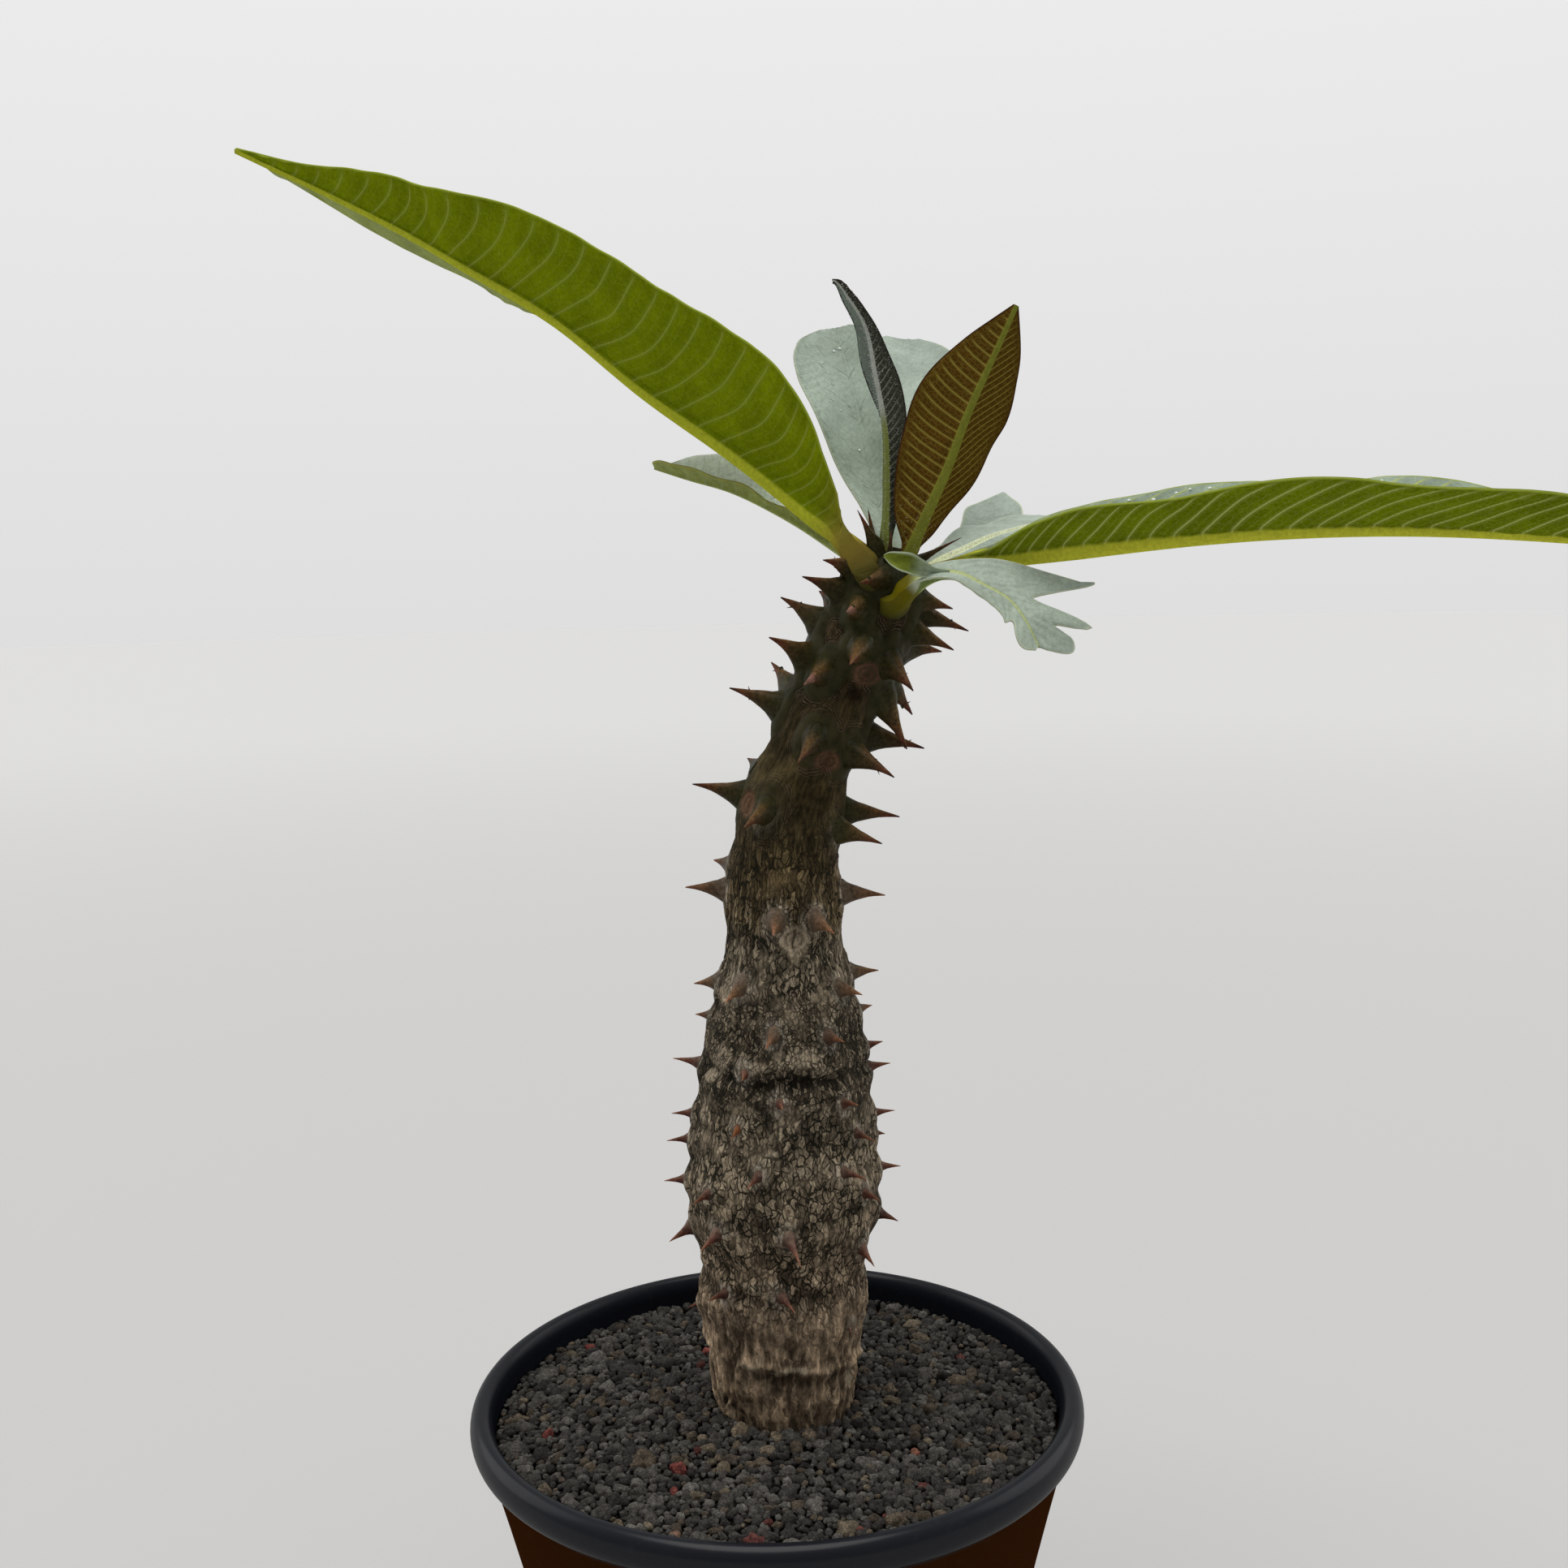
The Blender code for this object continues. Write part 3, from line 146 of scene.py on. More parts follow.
# Each leaf: its midrib from inside the crown to the tip; the direction that its upper face looks in;
# the half width of its left and right half; the rise of each half over the midrib, in degrees, at
# places from foot to tip; the midrib's radius; the edges' wave as count, height and phase; and how far
# its side parts sweep forward on each half.
LEAVES = {
    "leaf_long_left": {
        "midrib": ((22.8, -0.5, 255.5), (21.9, -3.6, 257.2), (20.9, -4.2, 259.4), (19.8, -3.2, 261.8),
                   (18, -1.3, 264), (16, 0.4, 265.9), (10.4, 4, 270.2),
                   (-4.4, 12, 282.3), (-21.5, 20, 295.1), (-39, 28, 310.1), (-57.5, 36, 322.1),
                   (-69.5, 44, 329.9), (-87.2, 52, 339.9), (-109.8, 60, 351.7)),
        "face": (0, 0, 1),
        "left": NEAR_LONG_HALF,
        "right": FAR_LONG_HALF,
        "rise": (((0, 62), (1, 54)), ((0, 14), (0.4, 4), (0.5, -6), (0.65, -20), (0.78, -26), (1, -24))),
        "rib": ((0, 1.6), (0.015, 2.2), (0.035, 2.9), (0.06, 3), (0.1, 2.5), (0.4, 1.5), (1, 0.5)),
        "wave": (5, 0.35, 0.2),
    },
    "leaf_long_right": {
        "midrib": ((25, 3, 255.4), (31, 2, 258.2), (36.2, 0, 260), (46.2, -5, 260.8), (57.3, -10, 261.8),
                   (68, -15, 262.8), (78.4, -20, 263.6), (88.4, -25, 264.1), (106.2, -30, 264.1),
                   (136, -35, 261.8), (166.9, -40, 257.2)),
        "face": (0, 0, 1),
        "left": ARCHED_HALF,
        "right": ARCHED_HALF,
        "rise": (((0, 40), (0.15, 44), (0.27, 43), (0.34, 40), (0.42, 32), (0.5, 29), (0.6, 31.5), (0.7, 31),
                  (1, 26)), ((0, 30), (0.3, 27), (0.6, 24), (1, 23))),
        "rib": ((0, 2), (0.12, 1.9), (0.25, 2), (0.4, 1.6), (0.6, 1.3), (1, 0.5)),
        "wave": (4, 0.8, 0.6),
    },
    "leaf_bronze": {
        "midrib": ((26.6, 1, 258.5), (28.7, -3.4, 263), (31.2, -5, 268.5), (35.2, -6, 277), (39.1, -7, 287),
                   (43.9, -8, 297.2), (47.8, -9, 305.5)),
        "face": (0, 1, 0),
        "left": ((0, 1.4), (0.12, 1.5), (0.2, 3.6), (0.4, 7), (0.63, 9.2), (0.83, 6.5), (0.94, 2.8),
                 (1, 0.5)),
        "right": ((0, 1.4), (0.12, 1.6), (0.2, 5), (0.33, 8.2), (0.5, 10), (0.66, 9.9), (0.83, 6.2),
                  (0.94, 2.6), (1, 0.5)),
        "rise": (((0, 40), (1, 34)), ((0, 12), (1, 12))),
        "rib": ((0, 1.5), (0.15, 1.3), (0.5, 0.9), (1, 0.4)),
        "wave": (4, 0.4, 0.1),
    },
    "leaf_folded_young": {
        "midrib": ((25, 1.5, 259), (24.5, -1, 264.3), (24.8, -1.5, 274.4), (24.6, -2, 285),
                   (22.9, -2.5, 295), (21, -3, 304), (18.2, -3.6, 308.6), (15.9, -4, 311.2),
                   (15.3, -4.2, 311.2)),
        "face": (0.85, 0.5, 0),
        "left": ((0, 1.1), (0.12, 1.1), (0.2, 2.2), (0.28, 3), (0.4, 3.2), (0.48, 3.9), (0.55, 4.2),
                 (0.63, 4), (0.75, 2.5), (0.85, 1.4), (0.93, 1), (1, 0.3)),
        "right": ((0, 1.1), (0.3, 1), (0.5, 1.1), (0.55, 1.9), (0.63, 2.8), (0.75, 4), (0.85, 3),
                  (0.92, 2.2), (0.97, 1.2), (1, 0.3)),
        "rise": (((0, 55), (0.7, 50), (1, 5)), ((0, 50), (0.2, 24), (0.4, 4), (0.7, -2), (1, 0))),
        "rib": ((0, 1.2), (0.3, 1.1), (0.5, 0.8), (0.6, 0.55), (1, 0.35)),
        "wave": (3, 0.3, 0.4),
    },
    "leaf_back_left": {
        "midrib": ((24.5, 4, 258), (24.4, 9, 266.4), (23.5, 12.4, 272), (21, 15.8, 284.6),
                   (19.2, 19.2, 294.2), (17.8, 22.6, 300.9), (16.8, 26, 306.6)),
        "face": (0, -1, 0.2),
        "left": BLUNT_HALF,
        "right": ((0, 1.2), (0.12, 1.4), (0.25, 2.4), (0.4, 3.6), (0.55, 4.6), (0.7, 5.6), (0.83, 6.4),
                  (0.92, 6.4), (0.97, 5.4), (1, 3.2)),
        "rise": (((0, 16), (1, 12)), ((0, 20), (1, 14))),
        "rib": SMALL_RIB,
        "wave": (3, 0.4, 0.3),
    },
    "leaf_back": {
        "midrib": ((26, 5, 257), (28, 12, 264.6), (30, 24, 275.4), (31.8, 36, 288.4), (33.2, 48, 299.6),
                   (33.8, 60, 308.2)),
        "face": (0, -1, 0.5),
        "left": ((0, 1.4), (0.1, 1.4), (0.2, 4.5), (0.4, 8.5), (0.6, 9.5), (0.8, 9), (0.93, 8), (0.98, 6.6),
                 (1, 5)),
        "right": ((0, 1.4), (0.1, 1.4), (0.2, 4.5), (0.4, 9.5), (0.6, 11.2), (0.8, 10.5), (0.9, 8.5),
                  (0.96, 5.5), (1, 2.5)),
        "rise": (((0, 20), (1, 14)), ((0, 18), (1, 12))),
        "rib": LARGE_RIB,
        "wave": (3, 0.6, 0.7),
    },
    "leaf_damaged_left": {
        "midrib": ((24, 4, 254.5), (19.9, 8, 260), (13.9, 12.4, 264.7), (4.6, 16.8, 270.7),
                   (-4.9, 21.2, 275.5), (-13, 25.6, 278.1), (-20.1, 30, 280.6)),
        "face": (0, 0, 1),
        "left": ((0, 1.4), (0.14, 1.3), (0.26, 1.8), (0.5, 2.5), (0.75, 3.2), (0.9, 3.5), (0.97, 3), (1, 2)),
        "right": ((0, 1.4), (0.14, 1.3), (0.26, 3.4), (0.5, 7.4), (0.72, 9.6), (0.87, 9), (0.93, 6.5),
                  (0.97, 2.5), (1, 1)),
        "rise": (((0, 46), (1, 40)), ((0, 30), (1, 34))),
        "rib": LARGE_RIB,
        "wave": (5, 0.5, 0.1),
    },
    "leaf_right_back": {
        "midrib": ((26, 5, 256), (35.1, 9, 260.6), (41, 16, 262.9), (47, 24, 265.2), (54.3, 32, 267),
                   (61.6, 40, 268.4), (71.3, 48, 269.4), (81.6, 56, 268.9)),
        "face": (0, 0, 1),
        "left": PLAIN_HALF,
        "right": PLAIN_HALF,
        "rise": (((0, 6), (1, 4)), ((0, -16), (1, -14))),
        "rib": LARGE_RIB,
        "wave": (4, 0.6, 0.5),
    },
    "leaf_far_back": {
        "midrib": ((26, 6, 255), (31, 16, 259.4), (38.5, 30, 261.8), (46, 44, 265.6), (51.5, 56, 270.6),
                   (54.8, 66, 275.1)),
        "face": (-0.2, -0.75, 0.65),
        "left": ((0, 1.4), (0.1, 1.2), (0.4, 2.2), (0.6, 3.4), (0.7, 4.8), (0.78, 5.9), (0.84, 5.9),
                 (0.9, 4.4), (0.96, 2.3), (1, 0.6)),
        "right": ((0, 1.4), (0.1, 1.4), (0.22, 3), (0.4, 5), (0.6, 7), (0.8, 7.2), (0.9, 4.6), (0.96, 2.2),
                  (1, 0.6)),
        "rise": (((0, 14), (1, 10)), ((0, 14), (1, 10))),
        "rib": LARGE_RIB,
        "wave": (3, 0.5, 0.9),
    },
    "leaf_torn_front": {
        "midrib": ((25.9, -1.5, 252.4), (25.3, -4.4, 252.8), (25.6, -6.6, 253.9), (27, -7.9, 255.6),
                   (29.4, -9, 257.3), (32.3, -10.6, 258.3), (36.5, -13.7, 258.2), (40.6, -16.3, 256.1),
                   (45, -18.9, 253.2), (47.2, -21.2, 250), (49.2, -23.4, 245.4)),
        "face": (0, -0.55, 0.84),
        "left": ((0, 1.8), (0.1, 2.6), (0.2, 2.3), (0.3, 2.3), (0.36, 2.8), (0.42, 4.4), (0.48, 7.4),
                 (0.54, 12), (0.6, 17.5), (0.635, 19), (0.66, 17), (0.69, 10), (0.72, 5.2), (0.745, 6.6),
                 (0.77, 11.5), (0.79, 14), (0.805, 12), (0.82, 7.6), (0.87, 9), (0.92, 8.4), (0.97, 5),
                 (1, 1.5)),
        "right": ((0, 1.8), (0.1, 2.6), (0.2, 2.3), (0.28, 2.2), (0.36, 2.6), (0.42, 3), (0.5, 3.4),
                  (0.62, 4.8), (0.72, 5.6), (0.78, 5.2), (0.81, 3.4), (0.87, 4.6), (0.94, 3.6), (1, 1)),
        "rise": (((0, 14), (1, 8)), ((0, 20), (1, 4))),
        "rib": ((0, 1.8), (0.08, 2.6), (0.14, 2.6), (0.25, 2.1), (0.4, 1.2), (1, 0.4)),
        "wave": (3, 0.3, 0.3),
        "petiole": 0.26,
        "sweep": (((0, 0), (0.45, 35), (0.6, 52), (1, 50)),
                  ((0, 0), (0.26, -10), (0.34, -24), (0.46, 0), (0.6, 30), (1, 40))),
    },
}
NO_SWEEP = (((0, 0), (1, 0)), ((0, 0), (1, 0)))
PETIOLE = 0.1

# Shared mathematics


def through(stations, at):
    """A smooth curve through stations whose first number is the position, read at the given positions."""
    stations = np.asarray(stations, float)
    knots, values = stations[:, 0], stations[:, 1:]
    slopes = np.gradient(values, knots, axis=0)
    at = np.clip(np.atleast_1d(np.asarray(at, float)), knots[0], knots[-1])
    i = np.clip(np.searchsorted(knots, at) - 1, 0, len(knots) - 2)
    span = (knots[i + 1] - knots[i])[:, None]
    t = (at[:, None] - knots[i][:, None]) / span
    rise = (3 - 2 * t) * t * t
    return (
        values[i] * (1 - rise)
        + values[i + 1] * rise
        + span * slopes[i] * t * (1 - t) ** 2
        - span * slopes[i + 1] * t * t * (1 - t)
    )


def between(stations, at):
    """Straight interpolation of stations whose first number is the position."""
    stations = np.asarray(stations, float)
    return np.interp(at, stations[:, 0], stations[:, 1])


def by_length(points):
    """The points with their distance along the line in front."""
    points = np.asarray(points, float)
    steps = np.linalg.norm(np.diff(points, axis=0), axis=1)
    return np.column_stack([np.concatenate([[0.0], np.cumsum(steps)]), points])


def unit(vectors):
    """Vectors of length 1."""
    return vectors / np.linalg.norm(vectors, axis=-1, keepdims=True)


def smooth(low, high, value):
    """0 below low, 1 above high and a soft step between them."""
    t = np.clip((np.asarray(value, float) - low) / (high - low), 0, 1)
    return t * t * (3 - 2 * t)


def scatter(cells, seed):
    """A value from 0 to 1 for each whole-numbered cell, the same on each run."""
    n = cells[..., 0] * 374761393 + cells[..., 1] * 668265263 + cells[..., 2] * 1440662683 + seed * 974634777
    n = (n & 0x7FFFFFFF) ^ ((n & 0x7FFFFFFF) >> 13)
    n = (n * 1274126177) & 0x7FFFFFFF
    return ((n ^ (n >> 15)) & 0xFFFFF) / 0xFFFFF


def noise(points, seed=0):
    """Soft noise from -1 to 1."""
    base = np.floor(points).astype(np.int64)
    part = points - base
    part = part * part * (3 - 2 * part)
    total = 0.0
    for corner in itertools.product((0, 1), repeat=3):
        weight = np.prod(np.where(corner, part, 1 - part), axis=-1)
        total = total + weight * scatter(base + np.array(corner), seed)
    return 2 * total - 1


def rough(points, octaves, seed=0):
    """Noise with finer noise added to it."""
    return sum(noise(points * 2**k, seed + k) / 2**k for k in range(octaves))


def cell_edges(points, seed=0):
    """How far each point is from the border of its cell, in cell widths, for a net of irregular cells."""
    base = np.floor(points).astype(np.int64)
    nearest = np.full(points.shape[:-1], 9.0)
    second = nearest.copy()
    for corner in itertools.product((-1, 0, 1), repeat=3):
        cell = base + np.array(corner)
        middle = cell + np.stack([scatter(cell, seed + k) for k in range(3)], axis=-1)
        away = np.linalg.norm(points - middle, axis=-1)
        second = np.minimum(second, np.maximum(nearest, away))
        nearest = np.minimum(nearest, away)
    return second - nearest


def grid_faces(rows, columns, closed=False, start=0, flip=False):
    """Four-cornered faces of a grid of points, closed round its columns or open."""
    i, j = np.meshgrid(np.arange(rows - 1), np.arange(columns if closed else columns - 1), indexing="ij")
    n = (j + 1) % columns
    quads = np.stack([i * columns + j, i * columns + n, (i + 1) * columns + n, (i + 1) * columns + j], -1)
    quads = quads.reshape(-1, 4) + start
    return (quads[:, ::-1] if flip else quads).tolist()


def set_values(mesh, attributes):
    """Vectors, one for each point, that a material reads."""
    for key, values in attributes.items():
        layer = mesh.attributes.new(key, "FLOAT_VECTOR", "POINT")
        layer.data.foreach_set("vector", np.asarray(values, np.float32).ravel())


def new_mesh(name, points, faces):
    """A mesh from points in millimetres."""
    mesh = bpy.data.meshes.new(name)
    mesh.from_pydata((np.asarray(points, float).reshape(-1, 3) * MM).tolist(), [], faces)
    return mesh


def new_object(name, data):
    """A mesh, a lamp or a camera as an object of the scene."""
    thing = bpy.data.objects.new(name, data)
    bpy.context.scene.collection.objects.link(thing)
    return thing


def make_piece(name, points, faces, material, node, attributes=None, sharp=None):
    """A shown piece that stands for a solid: its mesh, the values its material reads, and its place."""
    mesh = new_mesh(name, points, faces)
    mesh.materials.append(material)
    set_values(mesh, attributes or {})
    mesh.shade_smooth()
    if sharp:
        mesh.set_sharp_from_angle(angle=math.radians(sharp))
    thing = new_object(name, mesh)
    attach(thing, "root")
    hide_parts(node)
    return thing


class Level:
    """A number that varies over a surface. A sum on it makes a further node of its material."""

    def __init__(self, nodes, socket):
        self.nodes = nodes
        self.socket = socket

    def __add__(self, other):
        return self.nodes.do("ADD", self, other)

    def __radd__(self, other):
        return self.nodes.do("ADD", other, self)

    def __sub__(self, other):
        return self.nodes.do("SUBTRACT", self, other)

    def __rsub__(self, other):
        return self.nodes.do("SUBTRACT", other, self)

    def __mul__(self, other):
        return self.nodes.do("MULTIPLY", self, other)

    def __truediv__(self, other):
        return self.nodes.do("DIVIDE", self, other)

    def __abs__(self):
        return self.nodes.do("ABSOLUTE", self)


class Nodes:
    """Builds a material's nodes. An input may be a number, a colour, a level or another node's output."""

    def __init__(self, name, roughness=0.6, specular=0.5):
        self.material = bpy.data.materials.new(name)
        self.material.use_nodes = True
        self.tree = self.material.node_tree
        self.shader = self.tree.nodes["Principled BSDF"]
        self.shader.inputs["Roughness"].default_value = roughness
        self.shader.inputs["Specular IOR Level"].default_value = specular

    def put(self, socket, value):
        """Sets an input or links it."""
        if isinstance(value, Level):
            value = value.socket
        if isinstance(value, bpy.types.NodeSocket):
            self.tree.links.new(value, socket)
        elif isinstance(value, tuple) and len(value) == 3 and len(socket.default_value) == 4:
            socket.default_value = (*value, 1.0)
        else:
            socket.default_value = value

    def node(self, kind, inputs, **settings):
        """A node with its settings and inputs."""
        made = self.tree.nodes.new("ShaderNode" + kind)
        for key, value in settings.items():
            setattr(made, key, value)
        for key, value in inputs.items():
            self.put(made.inputs[key], value)
        return made

    def read(self, name):
        """A vector that the mesh carries."""
        return self.node("Attribute", {}, attribute_name=name).outputs["Vector"]

    def split(self, vector):
        """The three numbers of a vector."""
        made = self.node("SeparateXYZ", {0: vector})
        return [Level(self, output) for output in made.outputs]

    def length(self, vector):
        """A vector's length."""
        return self.node("VectorMath", {0: vector}, operation="LENGTH").outputs["Value"]

    def do(self, operation, first, second=0.5, third=0.5):
        """A sum on numbers."""
        made = self.node("Math", {0: first, 1: second, 2: third}, operation=operation)
        return Level(self, made.outputs[0])

    def step(self, value, low, high, start=0.0, end=1.0):
        """A soft step between two levels of a value."""
        inputs = {"Value": value, "From Min": low, "From Max": high, "To Min": start, "To Max": end}
        return Level(self, self.node("MapRange", inputs, interpolation_type="SMOOTHSTEP").outputs[0])

    def mix(self, share, first, second, blend="MIX"):
        """Two colours mixed."""
        made = self.node("Mix", {}, data_type="RGBA", blend_type=blend)
        self.put(made.inputs[0], share)
        self.put(made.inputs[6], first)
        self.put(made.inputs[7], second)
        return made.outputs[2]

    def stretch(self, vector, scale):
        """A vector scaled along each axis."""
        return self.node("VectorMath", {0: vector, 1: scale}, operation="MULTIPLY").outputs[0]

    def grey(self, value):
        """A grey of a brightness."""
        return self.node("CombineXYZ", {0: value, 1: value, 2: value}).outputs[0]

    def shade(self, colour, value):
        """A colour made lighter or darker."""
        return self.mix(1.0, colour, self.grey(value), "MULTIPLY")

    def warp(self, vector, scale, amount):
        """A vector moved about by noise."""
        moved = self.node("TexNoise", {"Vector": vector, "Scale": scale, "Detail": 1.0}).outputs["Color"]
        centred = self.node("VectorMath", {0: moved, 1: (0.5, 0.5, 0.5)}, operation="SUBTRACT").outputs[0]
        inputs = {0: centred, 1: (amount, amount, amount), 2: vector}
        return self.node("VectorMath", inputs, operation="MULTIPLY_ADD").outputs[0]

    def noise(self, vector, scale, detail=2.0, rough_share=0.5):
        """Noise from 0 to 1."""
        inputs = {"Vector": vector, "Scale": scale, "Detail": detail, "Roughness": rough_share}
        return Level(self, self.node("TexNoise", inputs).outputs["Fac"])

    def borders(self, vector, scale):
        """The distance to the borders of irregular cells."""
        inputs = {"Vector": vector, "Scale": scale}
        made = self.node("TexVoronoi", inputs, feature="DISTANCE_TO_EDGE")
        return Level(self, made.outputs["Distance"])

    def cell_tone(self, vector, scale):
        """A value from 0 to 1 for each irregular cell."""
        made = self.node("TexVoronoi", {"Vector": vector, "Scale": scale})
        return self.split(made.outputs["Color"])[0]

    def ramp(self, value, *stops):
        """A colour by a value: stops are a position and a colour each."""
        made = self.node("ValToRGB", {0: value})
        row = made.color_ramp.elements
        for place, _ in stops[2:]:
            row.new(place)
        for element, (place, colour) in zip(row, stops):
            element.position = place
            element.color = (*colour, 1.0)
        return made.outputs[0]

    def finish(self, colour, roughness=None, height=None, depth=0.1):
        """Sets the colour and, where given, a roughness that varies and a relief of a depth in mm."""
        self.put(self.shader.inputs["Base Color"], colour)
        if roughness is not None:
            self.put(self.shader.inputs["Roughness"], roughness)
        if height is not None:
            bump = self.node("Bump", {"Height": height, "Strength": 1.0, "Distance": depth * MM})
            self.put(self.shader.inputs["Normal"], bump.outputs[0])
        return self.material


# Pot

POT_TURNS = 144
POT_HEIGHTS = (5, 6, 10, 16, 24, 34, 46, 58, 70, 80, 86, 91, 94)
RIM_STEP = 9
HOLE_TURNS = 32
POT_SHARP = 40
POT_BLACK = (0.008, 0.009, 0.012)
# The brown of the body below the rim is a painted reflection of a brown surround; the plastic itself is
# black.
POT_REFLECTED_BROWN = (0.034, 0.011, 0.003)
POT_DUST = (0.06, 0.058, 0.056)
BROWN_BELOW = (93.5, 91.5)
RIM_GLOSS = 0.38


def body_radius(z):
    """The outer radius of the pot's body at a height."""
    return BASE_RADIUS + (NECK_RADIUS - BASE_RADIUS) * (z / (POT_HEIGHT - RIM_DEPTH)) ** FLARE


def inner_radius(z):
    """The inner radius of the pot at a height."""
    return min(body_radius(z) - WALL, RIM_RADIUS - RIM_WIDTH)


def pot_profile():
    """Half the pot's section, from the floor's middle over the rim to the underside's middle."""
    inside = [(0.0, FLOOR), (inner_radius(FLOOR) - 2.0, FLOOR), (inner_radius(FLOOR) - 0.6, FLOOR + 0.6)]
    inside += [(inner_radius(z), z) for z in POT_HEIGHTS]
    centre_r, centre_z = RIM_RADIUS - RIM_WIDTH / 2, POT_HEIGHT - RIM_DEPTH / 2
    rim = []
    for degrees in range(180, -100, -RIM_STEP):
        turn = math.radians(degrees)
        rim.append((centre_r + RIM_WIDTH / 2 * math.cos(turn), centre_z + RIM_DEPTH / 2 * math.sin(turn)))
    outside = [(body_radius(z), z) for z in reversed(POT_HEIGHTS[:-1])]
    foot = [(BASE_RADIUS, 1.5), (BASE_RADIUS - 0.4, 0.4), (BASE_RADIUS - 1.5, 0.0), (0.0, 0.0)]
    return inside + rim + outside + foot


def turned(profile, turns):
    """The rings of a profile turned round Z, without its first and last point, which lie on the axis."""
    angles = np.arange(turns) * 2 * math.pi / turns
    profile = np.asarray(profile[1:-1], float)
    radius, height = profile[:, :1], profile[:, 1:]
    return np.stack([radius * np.cos(angles), radius * np.sin(angles), height + 0 * angles], axis=-1)


def closed_faces(rows, columns):
    """The faces of closed rings with a flat cap at either end."""
    faces = grid_faces(rows, columns, closed=True)
    faces.append(list(range(columns))[::-1])
    faces.append([(rows - 1) * columns + k for k in range(columns)])
    return faces


def cut_drain_holes(pot):
    """Takes the drain holes out of the pot's floor."""
    for k in range(DRAIN_HOLES):
        turn = 2 * math.pi * k / DRAIN_HOLES
        place = np.array([DRAIN_CIRCLE * math.cos(turn), DRAIN_CIRCLE * math.sin(turn), 0.0])
        rings = turned([(0, 0), (DRAIN_RADIUS, 2 * FLOOR), (DRAIN_RADIUS, -2 * FLOOR), (0, 0)], HOLE_TURNS)
        cutter = new_object("hole", new_mesh("hole", rings + place, closed_faces(2, HOLE_TURNS)))
        step = pot.modifiers.new("hole", "BOOLEAN")
        step.operation = "DIFFERENCE"
        step.solver = "EXACT"
        step.object = cutter
        made = bpy.data.meshes.new_from_object(pot.evaluated_get(bpy.context.evaluated_depsgraph_get()))
        pot.modifiers.clear()
        pot.data = made
        bpy.data.objects.remove(cutter, do_unlink=True)
    set_values(pot.data, {"place": [corner.co / MM for corner in pot.data.vertices]})
    pot.data.shade_smooth()
    pot.data.set_sharp_from_angle(angle=math.radians(POT_SHARP))


def pot_material():
    """Satin black plastic with a painted reflection of a brown surround on its body below the rim, a fine
    grain and faint dust.
    """
    n = Nodes("pot_plastic", 0.4, 0.0)
    place = n.read("place")
    height = n.split(place)[2]
    body = n.step(height, *BROWN_BELOW)
    dust = n.step(n.noise(place, 0.5, 5, 0.65), 0.52, 0.8)
    # Painted brown reflection on the body below the rim.
    colour = n.mix(body, POT_BLACK, POT_REFLECTED_BROWN)
    colour = n.mix(dust * 0.1, colour, POT_DUST)
    roughness = n.noise(place, 0.9, 4, 0.6) * 0.2 + 0.28
    grain = n.noise(place, 2.6, 3, 0.6)
    inner = RIM_RADIUS - RIM_WIDTH
    outside = n.step(n.length(n.stretch(place, (1.0, 1.0, 0.0))), inner, inner + 1.5)
    gloss = (1.0 - body) * outside * RIM_GLOSS
    n.put(n.shader.inputs["Coat Weight"], gloss)
    n.shader.inputs["Coat Roughness"].default_value = 0.25
    return n.finish(colour, roughness, grain, 0.012)


def make_pot():
    """The pot: a turned profile with a rolled rim and drain holes."""
    rings = turned(pot_profile(), POT_TURNS)
    faces = closed_faces(len(rings), POT_TURNS)
    pot = make_piece("pot_turned", rings, faces, pot_material(), "pot")
    cut_drain_holes(pot)


# Gravel

GRAIN_SHAPES = 16
# Grains of each size: how many, the least and the most radius.
GRAIN_SIZES = ((80, 1.55, 2), (330, 1.15, 1.55), (900, 0.8, 1.15), (2600, 0.48, 0.8))
LOWER_GRAINS = (1000, 1.1, 1.7)
# How often a place is tried for a grain, and the radius from which a grain has a finer mesh.
GRAIN_TRIES = 40
FINE_GRAIN = 1.35
MARKED_SCALE = 0.88
# A piece of the gravel is closed when it has more faces than this.
PIECE_FACES = 190000
GRAIN_SEED = 23
# The lower layer: how much deeper it is and how much darker its colour is made, as painted shade in the gaps
# between the top grains, and how close the grains of both layers may stand.
LOWER_DEPTH = 2.4
LOWER_PAINTED_SHADE = 0.7
TOP_PACKING = 0.84
LOWER_PACKING = 0.8
# The gravel is heaped up a little round the stem: height, distance from the stem's middle and width.
HEAP = (1.6, 14, 9)
BED_TURNS = 96
BED_RINGS = 12
GREYS = ((0.05, 0.046, 0.041), (0.068, 0.063, 0.056), (0.034, 0.031, 0.029), (0.092, 0.086, 0.077))
BROWNS = ((0.09, 0.07, 0.05), (0.12, 0.096, 0.068), (0.066, 0.052, 0.04))
REDS = ((0.16, 0.046, 0.038), (0.12, 0.042, 0.036))
TAN = (0.2, 0.158, 0.108)
# Grains that catch the eye: place, radius and colour.
MARKED_GRAINS = (
    (-7.2, -10.4, 2, TAN), (-0.2, -12.6, 1.5, (0.17, 0.136, 0.094)), (-18.5, -22.8, 2.1, REDS[0]),
    (26, -18.1, 1.5, (0.2, 0.085, 0.055)), (-44.4, -8.4, 1.5, REDS[0]), (-3.8, -47.5, 1.6, REDS[1]),
    (-24.7, -20.2, 2.6, BROWNS[0]), (-51.1, -0.8, 1.9, BROWNS[1]), (12, -44, 2.3, BROWNS[1]),
    (-18.6, -30.5, 1.3, REDS[0]), (26.5, -30.5, 1.2, REDS[1]), (38.5, 20, 1.2, REDS[1]),
    (40, 12.5, 1.8, BROWNS[0]), (23, 1, 1.8, BROWNS[1]), (-17.5, -45, 1.5, (0.17, 0.1, 0.07)),
    (-42.5, -29, 1.9, BROWNS[1]), (-36, 5, 1.6, BROWNS[0]), (31, 30, 2, BROWNS[1]),
)


